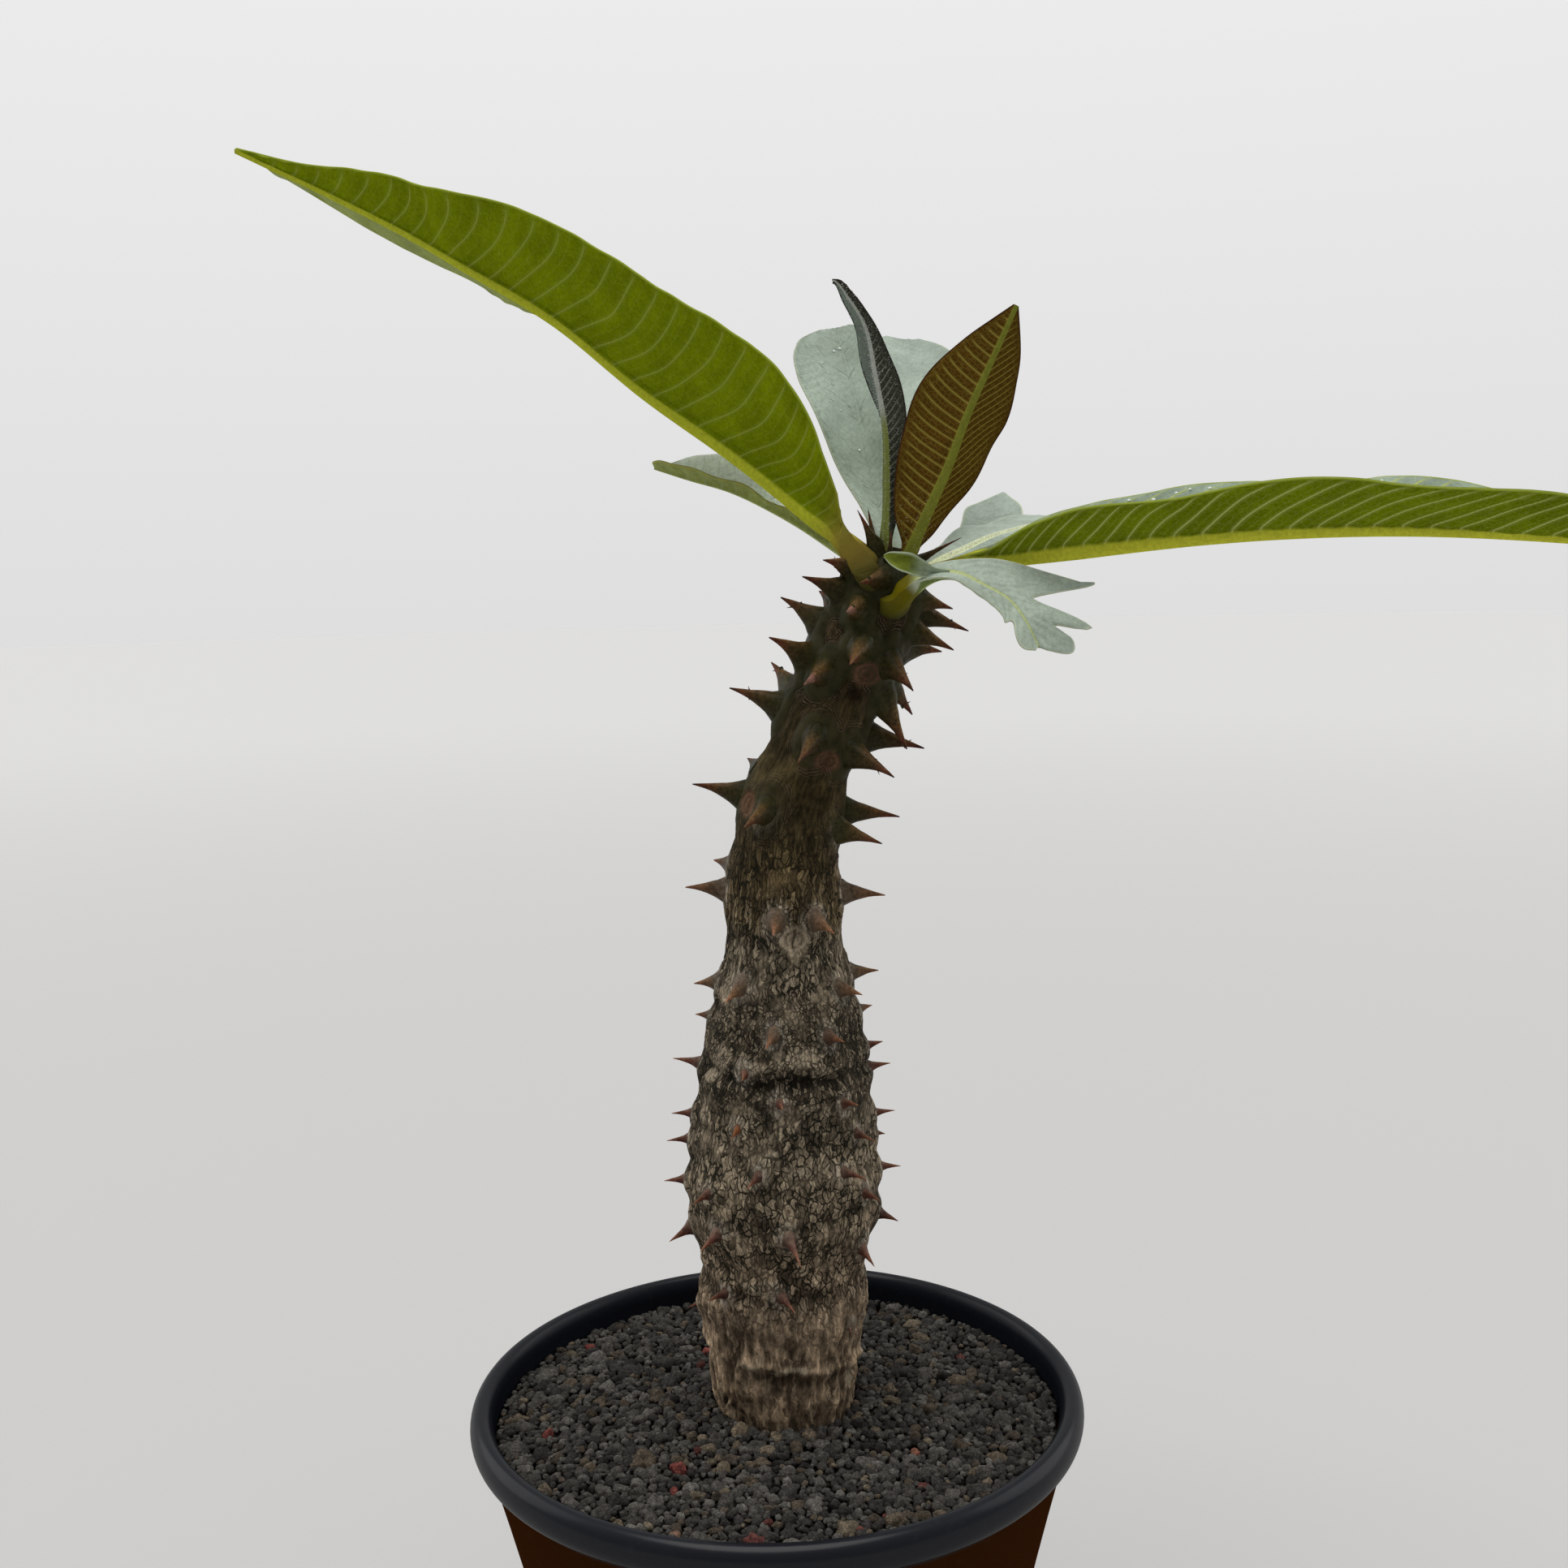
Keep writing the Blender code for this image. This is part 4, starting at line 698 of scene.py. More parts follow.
def rounded_mesh(levels):
    """The points and faces of a ball of triangles."""
    ball = bpy.data.meshes.new("ball")
    shape = bmesh.new()
    bmesh.ops.create_icosphere(shape, subdivisions=levels, radius=1.0)
    shape.to_mesh(ball)
    shape.free()
    points = np.array([v.co for v in ball.vertices], float)
    faces = np.array([f.vertices for f in ball.polygons], int)
    bpy.data.meshes.remove(ball)
    return points, faces


def grain_shapes(levels):
    """Rounded, slightly pitted lumps, and the triangles that they share."""
    ball, faces = rounded_mesh(levels)
    shapes = []
    for k in range(GRAIN_SHAPES):
        lumps = 1 + 0.42 * noise(ball * 1.2 + 7.3 * k, 3) + 0.22 * noise(ball * 2.7 + 5.1 * k, 4)
        pits = 0.16 * smooth(0.15, 0.55, noise(ball * 4.2 + 3.7 * k, 5))
        shapes.append(ball * (lumps - pits)[:, None])
    return shapes, faces


def turn_matrix(draw):
    """A random turn."""
    return np.array(Euler([draw.uniform(0, 2 * math.pi) for _ in range(3)]).to_matrix())


def grain_colour(draw):
    """A grain's colour: mostly charcoal, some brown, a few red."""
    pick = draw.random()
    row = GREYS if pick < 0.88 else BROWNS if pick < 0.9985 else REDS
    shade = draw.uniform(0.6, 1.35)
    return tuple(c * shade for c in draw.choice(row))


def stem_clear(x, y, radius):
    """True where a grain is outside the stem's foot."""
    return math.hypot(x - STEM[2][0], y - STEM_Y) > STEM[3][2] - 0.6 + 0.6 * radius


def scatter_grains(draw, groups, outer, packing, taken):
    """Places for grains, the largest first, none nearer to another than the packing allows."""
    xs, ys, rs = (list(column) for column in zip(*[t[:3] for t in taken])) if taken else ([], [], [])
    rows = []
    for count, least, most in groups:
        for _ in range(count):
            radius = draw.uniform(least, most)
            for _ in range(GRAIN_TRIES):
                reach = (outer - radius * 0.9) * math.sqrt(draw.random())
                turn = draw.uniform(0, 2 * math.pi)
                x, y = reach * math.cos(turn), reach * math.sin(turn)
                if not stem_clear(x, y, radius):
                    continue
                near = np.hypot(np.array(xs) - x, np.array(ys) - y)
                if np.all(near > packing * (np.array(rs) + radius)):
                    xs.append(x)
                    ys.append(y)
                    rs.append(radius)
                    rows.append((x, y, radius, None))
                    break
    return rows


def gravel_material():
    """Porous lava: each grain's own colour, mottled, with darker pits."""
    n = Nodes("lava_gravel", 0.9, 0.12)
    place, tone = n.read("place"), n.read("tone")
    pores = n.step(n.borders(n.warp(place, 1.0, 0.6), 1.6), 0.0, 0.2, 0.55, 1.0)
    mottle = n.step(n.noise(place, 1.1, 5, 0.7), 0.3, 0.72, 0.55, 1.6)
    relief = n.noise(place, 1.8, 5, 0.7) + pores * 0.4
    return n.finish(n.shade(tone, pores * mottle), None, relief, 0.22)


def join_grains(batch, number, material):
    """One piece from a batch of grains."""
    shapes, faces, tones, shifts = zip(*batch)
    sizes = [len(shape) for shape in shapes]
    starts = np.cumsum([0] + sizes[:-1])
    made = np.concatenate([own + start for own, start in zip(faces, starts)]).tolist()
    values = {
        "tone": np.repeat(tones, sizes, axis=0),
        "place": np.concatenate([shape + shift for shape, shift in zip(shapes, shifts)]),
    }
    make_piece(f"gravel_grains_{number}", np.concatenate(shapes), made, material, "soil", values)


def make_grains():
    """The loose grains on top, in pieces of a limited size."""
    draw = random.Random(GRAIN_SEED)
    outer = RIM_RADIUS - RIM_WIDTH - GAP
    heap, heap_from, heap_width = HEAP
    top = [(x, y, MARKED_SCALE * radius, colour) for x, y, radius, colour in MARKED_GRAINS]
    top += scatter_grains(draw, GRAIN_SIZES, outer, TOP_PACKING, top)
    low = scatter_grains(draw, (LOWER_GRAINS,), outer, LOWER_PACKING, [])
    coarse, fine = grain_shapes(2), grain_shapes(3)
    material = gravel_material()
    batch, total, number = [], 0, 0
    rows = [(row, 0.0) for row in top] + [(row, LOWER_DEPTH) for row in low]
    for (x, y, radius, colour), depth in rows:
        shapes, faces = fine if radius > FINE_GRAIN and not depth else coarse
        size = np.array([draw.uniform(0.8, 1.3), draw.uniform(0.8, 1.25), draw.uniform(0.7, 1.0)])
        shape = (draw.choice(shapes) @ turn_matrix(draw).T) * size * radius
        sunk = draw.uniform(0.25, 0.6) * radius + depth + 0.5
        mound = heap * math.exp(-((math.hypot(x - STEM[2][0], y - STEM_Y) - heap_from) / heap_width) ** 2)
        centre = np.array([x, y, SOIL_LEVEL + mound * 0.5 + 0.9 - sunk])
        # The lower grains' colour is darkened as painted shade in the gaps.
        tone = np.array(colour or grain_colour(draw)) * (LOWER_PAINTED_SHADE if depth else 1.0)
        batch.append((shape + centre, faces, tone, draw.uniform(0, 90)))
        total += len(faces)
        if total > PIECE_FACES:
            join_grains(batch, number, material)
            batch, total, number = [], 0, number + 1
    join_grains(batch, number, material)


def bed_material():
    """Gravel far darker than the grains, as painted shade in the gaps between them, rough as if of small
    grains.
    """
    n = Nodes("gravel_bed", 0.95, 0.2)
    place = n.read("place")
    # Near-black colour: painted shade seen between the grains.
    colour = n.ramp(n.noise(place, 0.8, 5, 0.7), (0.3, (0.008, 0.007, 0.007)), (0.75, (0.035, 0.032, 0.03)))
    return n.finish(colour, None, n.borders(place, 0.6), 0.8)


def make_bed():
    """The gravel's body under the loose grains."""
    outer = inner_radius(POT_HEIGHTS[-1]) - GAP
    top = SOIL_LEVEL - 3.0
    low = FLOOR + GAP
    profile = [(0, top)] + [(r, top) for r in np.linspace(outer / BED_RINGS, outer, BED_RINGS)]
    profile += [(inner_radius(z) - GAP, z) for z in reversed(POT_HEIGHTS[:-2])]
    profile += [(inner_radius(FLOOR) - 2.0 - GAP, low), (0, low)]
    rings = turned(profile, BED_TURNS)
    rings[..., 2] += 0.8 * rough(rings / 2.5, 2, 8) * (rings[..., 2] > top - 0.1)
    faces = closed_faces(len(rings), BED_TURNS)
    make_piece("gravel_bed", rings, faces, bed_material(), "soil", {"place": rings})


# Stem

# The skin's mesh: its sides, and its rings in the gravel and above it.
STEM_SIDES = 240
HIDDEN_RINGS = 10
SEEN_RINGS = 388
SEEN_FROM = 25.0
# Leaf scars: distance along the stem, azimuth, radius, and how dark their crack is.
SCARS = (
    (178, 22, 2.9, 0.2), (160, 19, 2.6, 0.2), (125, 10, 3.2, 1), (148, -62, 2.6, 0.3), (114, -62, 2.4, 0.3),
    (186, -100, 2.4, 0.2), (170, 120, 2.5, 0.3), (138, 80, 2.4, 0.3), (118, 100, 2.4, 0.4),
    (172, 175, 2.7, 0.3), (152, -150, 2.6, 0.3), (130, 165, 2.9, 0.8), (110, -160, 3, 0.5),
)
# Pale corky patches: distance along the stem, azimuth, half height and half width.
PATCHES = (
    (103.4, 11, 2, 4.8), (101.3, -25, 0.9, 2.2), (100.6, 26, 1.1, 2.6), (101.5, -52, 2.6, 2.6),
    (97.5, -62, 1.4, 2), (88.5, -64, 1.2, 1.4), (91, -24, 2.2, 1.8), (84.5, -8, 1.3, 1.5),
    (82, 12, 0.9, 2.6), (76.5, -62, 1.3, 1.5), (79, -46, 1, 1.2), (69.5, -34, 0.8, 2.2),
    (58.5, -20, 1.2, 2.6),
    (60, -10, 1, 1.6), (42.2, -24, 0.9, 2.4), (41.4, -4, 0.5, 2), (42, 12, 0.7, 2.6), (37, 60, 2.6, 1.3),
    (57, 84, 2.6, 1.2), (117, 2, 1.2, 1), (116.5, -52, 1.7, 2.2), (109, 38, 0.8, 1.1), (94, 16, 0.8, 1.5),
    (93, 28, 1.4, 0.9), (100, 160, 2.2, 4), (86, 190, 1.8, 3.2), (78, 130, 2, 3),
    (92, 110, 2, 2.4), (70, 170, 1.2, 4), (114, 150, 2, 2.4), (84, -120, 2.2, 2.6),
)
# Creases and ridges round the stem: distance along it in front, how much higher on the left than on the
# right, how much higher at the sides, depth and width.
CREASES = (
    (98.4, 0, 0.5, 1.1, 1.1), (101.4, 0, 0.5, -0.6, 1.5), (95.6, 0, 0.5, -0.45, 1.5),
    (58.8, 0, 1, -0.4, 1.4), (56, 0, 1, 0.5, 1.6), (41.6, 2.4, 0, -0.6, 0.9),
    (39.4, 2.4, 0, 0.5, 1.2), (71.5, 0, 1, 0.4, 1.3), (86.5, 0, 1, 0.4, 1.2),
    (126, 0, 2, -0.3, 3),
)
# Where one kind of bark passes into the next, by the distance along the stem.
NET_FROM = 50.0
NET_TO = 128.0
YOUNG_FROM = 146.0
# Where the pattern of its cracks changes, from the ridges up, and the stretch over which they fade out.
CRACK_LIMITS = ((NET_FROM - 6, NET_FROM + 8), (92.0, 95.0), (112.0, 115.0), (136.0, 160.0))
# The bark's colour along the stem, as shares of 220 mm. The dark stops at 0.47 and 0.51 are painted shade
# under the creases near 100 mm.
BARK_STOPS = (
    (0.17, (0.265, 0.192, 0.124)), (0.28, (0.238, 0.174, 0.116)), (0.36, (0.205, 0.16, 0.108)),
    (0.42, (0.245, 0.196, 0.136)), (0.47, (0.062, 0.049, 0.034)), (0.51, (0.08, 0.064, 0.044)),
    (0.55, (0.165, 0.132, 0.092)), (0.59, (0.18, 0.146, 0.1)), (0.62, (0.1, 0.071, 0.036)),
    (0.72, (0.046, 0.034, 0.014)), (0.86, (0.026, 0.018, 0.008)), (0.99, (0.03, 0.024, 0.01)),
)
TUBERCLE_STOPS = ((0.35, (0.02, 0.021, 0.008)), (0.65, (0.04, 0.036, 0.015)))
CORK = (0.36, 0.295, 0.21)
MOUND_SKIN = (0.36, 0.312, 0.248)
LOWER_SCAR = (0.4, 0.325, 0.232)
UPPER_SCAR = (0.13, 0.062, 0.036)
RING_COLOUR = (0.15, 0.112, 0.08)
CRACK_COLOUR = (0.008, 0.008, 0.005)
BACK_SEED = 5


class Axis:
    """The stem's axis by distance from its root end, with its radius and directions."""

    def __init__(self):
        route = by_length([(x, STEM_Y, z) for x, z, _ in STEM])
        self.stations = np.column_stack([route, [radius for _, _, radius in STEM]])
        self.length = self.stations[-1, 0]

    def at(self, s):
        """Centres, tangents, directions to the right and radii at distances."""
        s = np.atleast_1d(np.asarray(s, float))
        near = through(self.stations, s)
        ahead, behind = through(self.stations, s + 0.5), through(self.stations, s - 0.5)
        tangent = unit(ahead[:, :3] - behind[:, :3])
        right = np.stack([tangent[:, 2], 0 * s, -tangent[:, 0]], axis=-1)
        return near[:, :3], tangent, right, near[:, 3]

    def outward(self, s, azimuth):
        """Directions out of the stem at distances and azimuths."""
        turn = np.radians(np.asarray(azimuth, float))[..., None]
        right = self.at(s)[2]
        return np.sin(turn) * right + np.cos(turn) * np.array([0.0, -1.0, 0.0])


def spine_rows(axis):
    """The spines in view, then those of the back, no further round than hides them from the front."""
    draw = random.Random(BACK_SEED)
    back = []
    for s, azimuth, length, across, down in SPINES:
        if abs(azimuth) < REPEATED_TO:
            stem_radius = axis.at(s)[3][0]
            limit = math.degrees(math.asin(stem_radius / (stem_radius + length)))
            turned_to = 180 + limit * azimuth / REPEATED_TO
            back.append((s + draw.uniform(-3, 3), turned_to, length * draw.uniform(0.9, 1.1), across, down))
    return SPINES + tuple(back)


def skin_distance(place, row):
    """How far points of the skin are from a row's place on it: round it and along the stem, in mm."""
    s, azimuth, radius = place
    around = (azimuth - row[1] + 180) % 360 - 180
    return np.radians(around) * radius, s - row[0]


def bark_skin(s, angle, flat):
    """The relief of the bark itself: ridges at the foot, a net above them, and the creases."""
    ridged = 1 - smooth(NET_FROM - 2, NET_FROM + 10, s)
    young = smooth(NET_TO, YOUNG_FROM, s)
    relief = 0.34 * rough(flat / 8, 3, 1) + 0.1 * rough(flat / 1.6, 2, 2)
    bent = flat + 1.1 * np.stack([noise(flat / 4 + k, 20 + k) for k in range(3)], axis=-1)
    ridges = 1 - np.abs(rough(bent / np.array([1.6, 1.6, 10.0]), 2, 6))
    relief = relief + ridged * 0.9 * (ridges**2 - 0.5)
    net = 1 - smooth(0.03, 0.22, cell_edges(bent / np.array([1.7, 1.7, 3.4]), 9))
    relief = relief - 0.24 * net * (1 - ridged) * (1 - young) * smooth(-0.35, 0.25, noise(flat / 5, 12))
    relief = relief + young * 0.08 * rough(flat / 0.9, 2, 14)
    for front, tilt, sag, depth, width in CREASES:
        middle = front - tilt * np.sin(angle) + sag * (1 - np.cos(angle)) + 0.8 * noise(flat / 5 + 40, 30)
        crease = depth * np.exp(-(((s - middle) / width) ** 2))
        relief = relief - crease * smooth(-1.1, 0.2, noise(flat / 8, 31))
    return relief


def spine_mounds(relief, axis, place):
    """Mounds under the lower spines and domes under the upper ones, with a furrow round each dome."""
    foot, swell, beside = np.zeros_like(relief), np.zeros_like(relief), np.full_like(relief, 20.0)
    for row in spine_rows(axis):
        size = between(SPINE_FEET, row[0])
        around, along = skin_distance(place, row)
        far = np.hypot(around / (size * FOOT_WIDTH), along / (size * FOOT_HEIGHT))
        upper = smooth(146, 172, row[0])
        wide = 2.6 - 0.5 * smooth(1.8, 2.8, size)
        bell = np.clip(1 - (far / wide) ** 2, 0, 1) ** 2
        dome = np.clip(1 - (far / 1.35) ** 2, 0, 1) ** 0.8
        mound = 0.7 * min(size, 1.7) * bell
        swell = np.maximum(swell, (1 - upper) * mound + upper * size * (0.34 * dome + 0.1 * bell))
        foot = np.maximum(foot, (1 - upper) * bell + upper * smooth(1.5, 1.25, far))
        relief = relief - 0.2 * upper * np.exp(-(((far - 1.5) / 0.14) ** 2))
        beside = np.minimum(beside, (far - 1.4) * size)
    return relief, foot, swell, beside


def leaf_scars(relief, place):
    """Round scars with a rim, rings and a dark crack."""
    scar, fissure = np.zeros_like(relief), np.zeros_like(relief)
    for row in SCARS:
        around, along = skin_distance(place, row)
        far = np.hypot(around, along * 1.1) / row[2]
        inside = 1 - smooth(0.85, 1.05, far)
        rings = 0.1 * np.cos(far * 9.0)
        rim = 0.3 * np.exp(-(((far - 1.05) / 0.16) ** 2))
        crack = row[3] * np.exp(-((around - 0.25 * np.sin(along * 1.7)) / 0.24) ** 2) * smooth(1.0, 0.5, far)
        relief = relief * (1 - 0.8 * inside) + inside * (rings - 0.15) + rim - 0.4 * crack
        scar = np.maximum(scar, inside * (0.3 + 0.7 * np.cos(far * 9.0) ** 2))
        fissure = np.maximum(fissure * (1 - inside), crack)
    return relief, scar, fissure


def corky_patches(flat, place):
    """How far each point belongs to a pale patch."""
    pale = np.zeros(flat.shape[:-1])
    for row in PATCHES:
        around, along = skin_distance(place, row)
        far = np.hypot(along / row[2], around / row[3])
        far = far + 0.5 * noise(flat / 0.9, 50) + 0.3 * noise(flat / 2, 51)
        pale = np.maximum(pale, 1 - smooth(0.75, 1.1, far))
    return pale


def bark_relief(axis, s, azimuth, radius):
    """Outward relief of the bark, and what its material reads: masks, distances and a straightened place."""
    angle = np.radians(azimuth)
    flat = np.stack([radius * np.sin(angle), -radius * np.cos(angle), s + 0 * angle], axis=-1)
    place = (s, azimuth, radius)
    relief, foot, swell, beside = spine_mounds(bark_skin(s, angle, flat), axis, place)
    relief, scar, fissure = leaf_scars(relief, place)
    pale = corky_patches(flat, place)
    relief = relief + 0.22 * pale
    return relief * (1 - 0.7 * foot) + swell, (foot, scar, fissure), (beside, pale, relief), flat


def bark_lines(n, trunk, s):
    """The bark's cracks and the lighter rims beside them, which are a painted highlight on the plates'
    raised edges, and a tone for each of its plates.
    """
    bent = n.warp(n.warp(trunk, 0.4, 2.0), 1.3, 0.55)
    ridges, low, high, end = CRACK_LIMITS
    zones = (
        (0.75, 0.13, 0.35, n.step(s, *ridges[::-1])),
        (1.0, 0.46, 1.0, n.step(s, *ridges) * n.step(s, *low[::-1])),
        (1.3, 0.6, 0.95, n.step(s, *low) * n.step(s, *high[::-1])),
        (1.25, 0.22, 1.0, n.step(s, *high) * n.step(s, *end[::-1])),
    )
    crack, rim, tone = 0.0, 0.0, 1.0
    for scale, tall, depth, here in zones:
        place = n.stretch(bent, (1.0, 1.0, tall))
        away = n.borders(place, scale)
        fine = n.step(n.borders(place, 2.1 * scale), 0.1, 0.03) * 0.45
        own = n.do("MAXIMUM", n.step(away, 0.13, 0.05), fine)
        plate = n.cell_tone(place, scale)
        # A pale band beside each crack: painted highlight on the edges of the plates.
        beside = n.step(away, 0.09, 0.18) * n.step(away, 0.42, 0.24)
        crack = crack + own * (here * depth)
        rim = rim + beside * (here * n.step(plate, 0.35, 0.9))
        tone = tone + n.step(plate, 0.05, 0.95, -0.38, 0.45) * here
    broken = n.step(n.noise(trunk, 0.22, 4, 0.65), 0.34, 0.56, 0.45, 1.0)
    return crack * broken, rim, tone


def ring_lines(n, trunk, beside, foot, young):
    """Wrinkled rings round the domes of the upper stem."""
    turn = beside * 12.0 + n.noise(trunk, 0.8, 3) * 11.0
    near = n.step(beside, 2.2, 0.6) * (young * n.step(foot, 0.5, 0.1))
    ripple = n.step(n.do("SINE", turn), 0.45, 0.95) * near
    return ripple * n.step(n.noise(trunk, 0.45, 2), 0.36, 0.52)


def bark_material():
    """The bark: dark and finely wrinkled at the top, cracked grey below, ridged and brown at the foot."""
    n = Nodes("bark", 0.7, 0.04)
    trunk = n.read("trunk")
    s = n.split(trunk)[2]
    foot, scar, fissure = n.split(n.read("mask"))
    beside, pale, height = n.split(n.read("detail"))
    young = n.step(s, NET_TO - 6, YOUNG_FROM - 4)
    base = n.ramp((s + n.noise(trunk, 0.12, 2) * 14.0) / 220.0, *BARK_STOPS)
    crack, rim, tone = bark_lines(n, trunk, s)
    mound = n.step(foot, 0.4, 0.95) * n.step(s, 132.0, 152.0, 0.3, 0.95)
    open_bark = 1.0 - n.do("MAXIMUM", mound, scar * 0.85)
    blotch = n.step(n.noise(trunk, 0.26, 4, 0.65), 0.34, 0.68, 0.6, 1.5)
    streak = n.step(n.noise(n.stretch(trunk, (1.0, 1.0, 0.18)), 1.3, 4, 0.7), 0.32, 0.7, 0.6, 1.5)
    # Colour darker in the relief's hollows and lighter on its raised parts: painted shade and painted light.
    relief_light_and_shade = n.step(height, -0.6, 0.6, 0.5, 1.5)
    colour = n.shade(base, tone * blotch * (streak * relief_light_and_shade))
    # The rims beside the cracks are a painted highlight; the pale patches are the bark's own colour.
    light = n.do("MAXIMUM", rim * 0.5, pale) * (1.0 - young)
    colour = n.mix(light * open_bark, colour, n.shade(CORK, streak))
    flank = n.shade(MOUND_SKIN, streak * blotch)
    flaky = n.step(n.noise(n.stretch(trunk, (1.0, 1.0, 0.4)), 1.7, 5, 0.7), 0.42, 0.6, 0.15, 0.95)
    lower = n.mix(n.step(foot, 0.25, 0.8) * flaky, colour, flank)
    upper = n.mix(foot * 0.95, colour, n.ramp(n.noise(trunk, 0.5, 3), *TUBERCLE_STOPS))
    colour = n.mix(n.step(s, 132.0, 152.0), lower, upper)
    ringed = n.mix(n.step(s, 126.0, 150.0), LOWER_SCAR, UPPER_SCAR)
    colour = n.mix(scar * 0.85, colour, n.shade(ringed, blotch))
    ripple = ring_lines(n, trunk, beside, foot, young)
    colour = n.mix(ripple * 0.6, colour, RING_COLOUR)
    dark = n.do("MAXIMUM", crack * open_bark, fissure)
    colour = n.mix(dark * 0.93, colour, CRACK_COLOUR)
    grain = n.noise(n.stretch(trunk, (1.0, 1.0, 0.5)), 2.2, 6, 0.7)
    calm = 1.0 - foot * young * 0.9
    relief = (grain + (light + ripple * 0.6) * 0.5 - dark * 1.3) * calm
    roughness = 0.8 - foot * young * 0.38
    return n.finish(colour, roughness, relief, 0.16)


def make_stem(axis, material):
    """The stem's skin as one closed grid with its relief."""
    s = np.concatenate([
        np.linspace(0.0, SEEN_FROM, HIDDEN_RINGS, endpoint=False),
        np.linspace(SEEN_FROM, axis.length, SEEN_RINGS),
    ])
    azimuth = np.arange(STEM_SIDES) * 360.0 / STEM_SIDES
    centre, _, right, radius = axis.at(s)
    turn = np.radians(azimuth)[None, :, None]
    out = np.sin(turn) * right[:, None, :] + np.cos(turn) * np.array([0.0, -1.0, 0.0])
    relief, mask, detail, flat = bark_relief(axis, s[:, None], azimuth[None, :], radius[:, None])
    relief = relief * smooth(axis.length, axis.length - 5, s)[:, None]
    points = centre[:, None, :] + out * (radius[:, None] + relief)[..., None]
    values = {"trunk": flat, "mask": np.stack(mask, axis=-1), "detail": np.stack(detail, axis=-1)}
    faces = closed_faces(len(s), STEM_SIDES)
    make_piece("stem_bark", points, faces, material, "caudex", values)


# Spines

SPINE_SIDES = 12
# Where the lower spines in front are orange, by their distance along the stem and azimuth.
ORANGE_FROM = 85.0
ORANGE_TO = 92.0
ORANGE_LEFT = -32.0
# Spines of the upper stem with a dry, papery point, by their distance along the stem and azimuth.
PAPERY = ((188.5, -22), (175.0, -32))
# Where a spine's rings are along it, as shares of its length.
LARGE_SHARES = np.array(
    [-0.28, -0.12, -0.02, 0.06, 0.14, 0.22, 0.32, 0.42, 0.54, 0.66, 0.78, 0.88, 0.95, 1.0]
)
SMALL_SHARES = np.array([-0.3, -0.12, 0.0, 0.12, 0.24, 0.36, 0.5, 0.66, 0.82, 0.93, 1.0])
POINT_WIDTH = 0.03
# Side prickles stand on the upper spines over this length, with this share.
PRICKLE_FROM = 150
PRICKLE_LENGTH = 7
PRICKLE_SHARE = 0.45
SPINE_SEED = 31
# The colours of horn from a spine's foot to its point: on the upper stem, below, and in between.
YOUNG_HORN = (
    (0.0, (0.026, 0.026, 0.009)), (0.3, (0.032, 0.027, 0.009)), (0.55, (0.056, 0.034, 0.013)),
    (0.8, (0.105, 0.036, 0.017)), (1.0, (0.042, 0.014, 0.009)),
)
AGED_HORN = (
    (0.0, (0.12, 0.096, 0.074)), (0.18, (0.074, 0.048, 0.036)), (0.5, (0.086, 0.03, 0.021)),
    (0.85, (0.19, 0.068, 0.034)), (1.0, (0.3, 0.135, 0.065)),
)
WEATHERED_HORN = (
    (0.0, (0.125, 0.098, 0.07)), (0.35, (0.088, 0.062, 0.038)), (0.7, (0.16, 0.088, 0.044)),
    (1.0, (0.24, 0.1, 0.05)),
)


def spine_grid(foot, tip, bow, radius):
    """The rings of one spine, and how far along it each is."""
    large = radius > LARGE_SPINE
    shares = LARGE_SHARES if large else SMALL_SHARES
    stations = tuple(LARGE_STATIONS if large else SMALL_STATIONS) + ((1.0, POINT_WIDTH),)
    widths = through(stations, shares)[:, 0] * radius
    widths = widths * (1 + (0.16 if large else 0.1) * np.sin(math.pi * np.clip(shares / 0.75, 0, 1)))
    ahead = unit(tip - foot)
    side = unit(np.cross(ahead, bow))
    upward = np.cross(side, ahead)
    turn = np.arange(SPINE_SIDES) * 2 * math.pi / SPINE_SIDES
    ring = FOOT_WIDTH * np.cos(turn)[:, None] * side + FOOT_HEIGHT * np.sin(turn)[:, None] * upward
    lift = (np.maximum(shares, 0) * (1 - shares))[:, None] * bow
    centre = foot + shares[:, None] * (tip - foot) + lift
    uneven = 1 + 0.07 * noise(centre[:, None, :] * 0.8 + ring * 1.4, 17)
    return centre[:, None, :] + ring * (widths[:, None] * uneven)[..., None], shares, np.sin(turn)


def side_prickle(draw, foot, tip, bow, radius):
    """A small point on the upper side of a large spine."""
    share = draw.uniform(0.58, 0.74)
    run = tip - foot
    start = foot + run * share + bow * share * (1 - share)
    upward = unit(bow) * draw.choice((1.0, 1.0, -0.6))
    ahead = unit(0.75 * unit(run) + upward)
    return start - 0.3 * ahead, start + ahead * draw.uniform(1.3, 2.1), unit(run) * 0.2, radius * 0.15


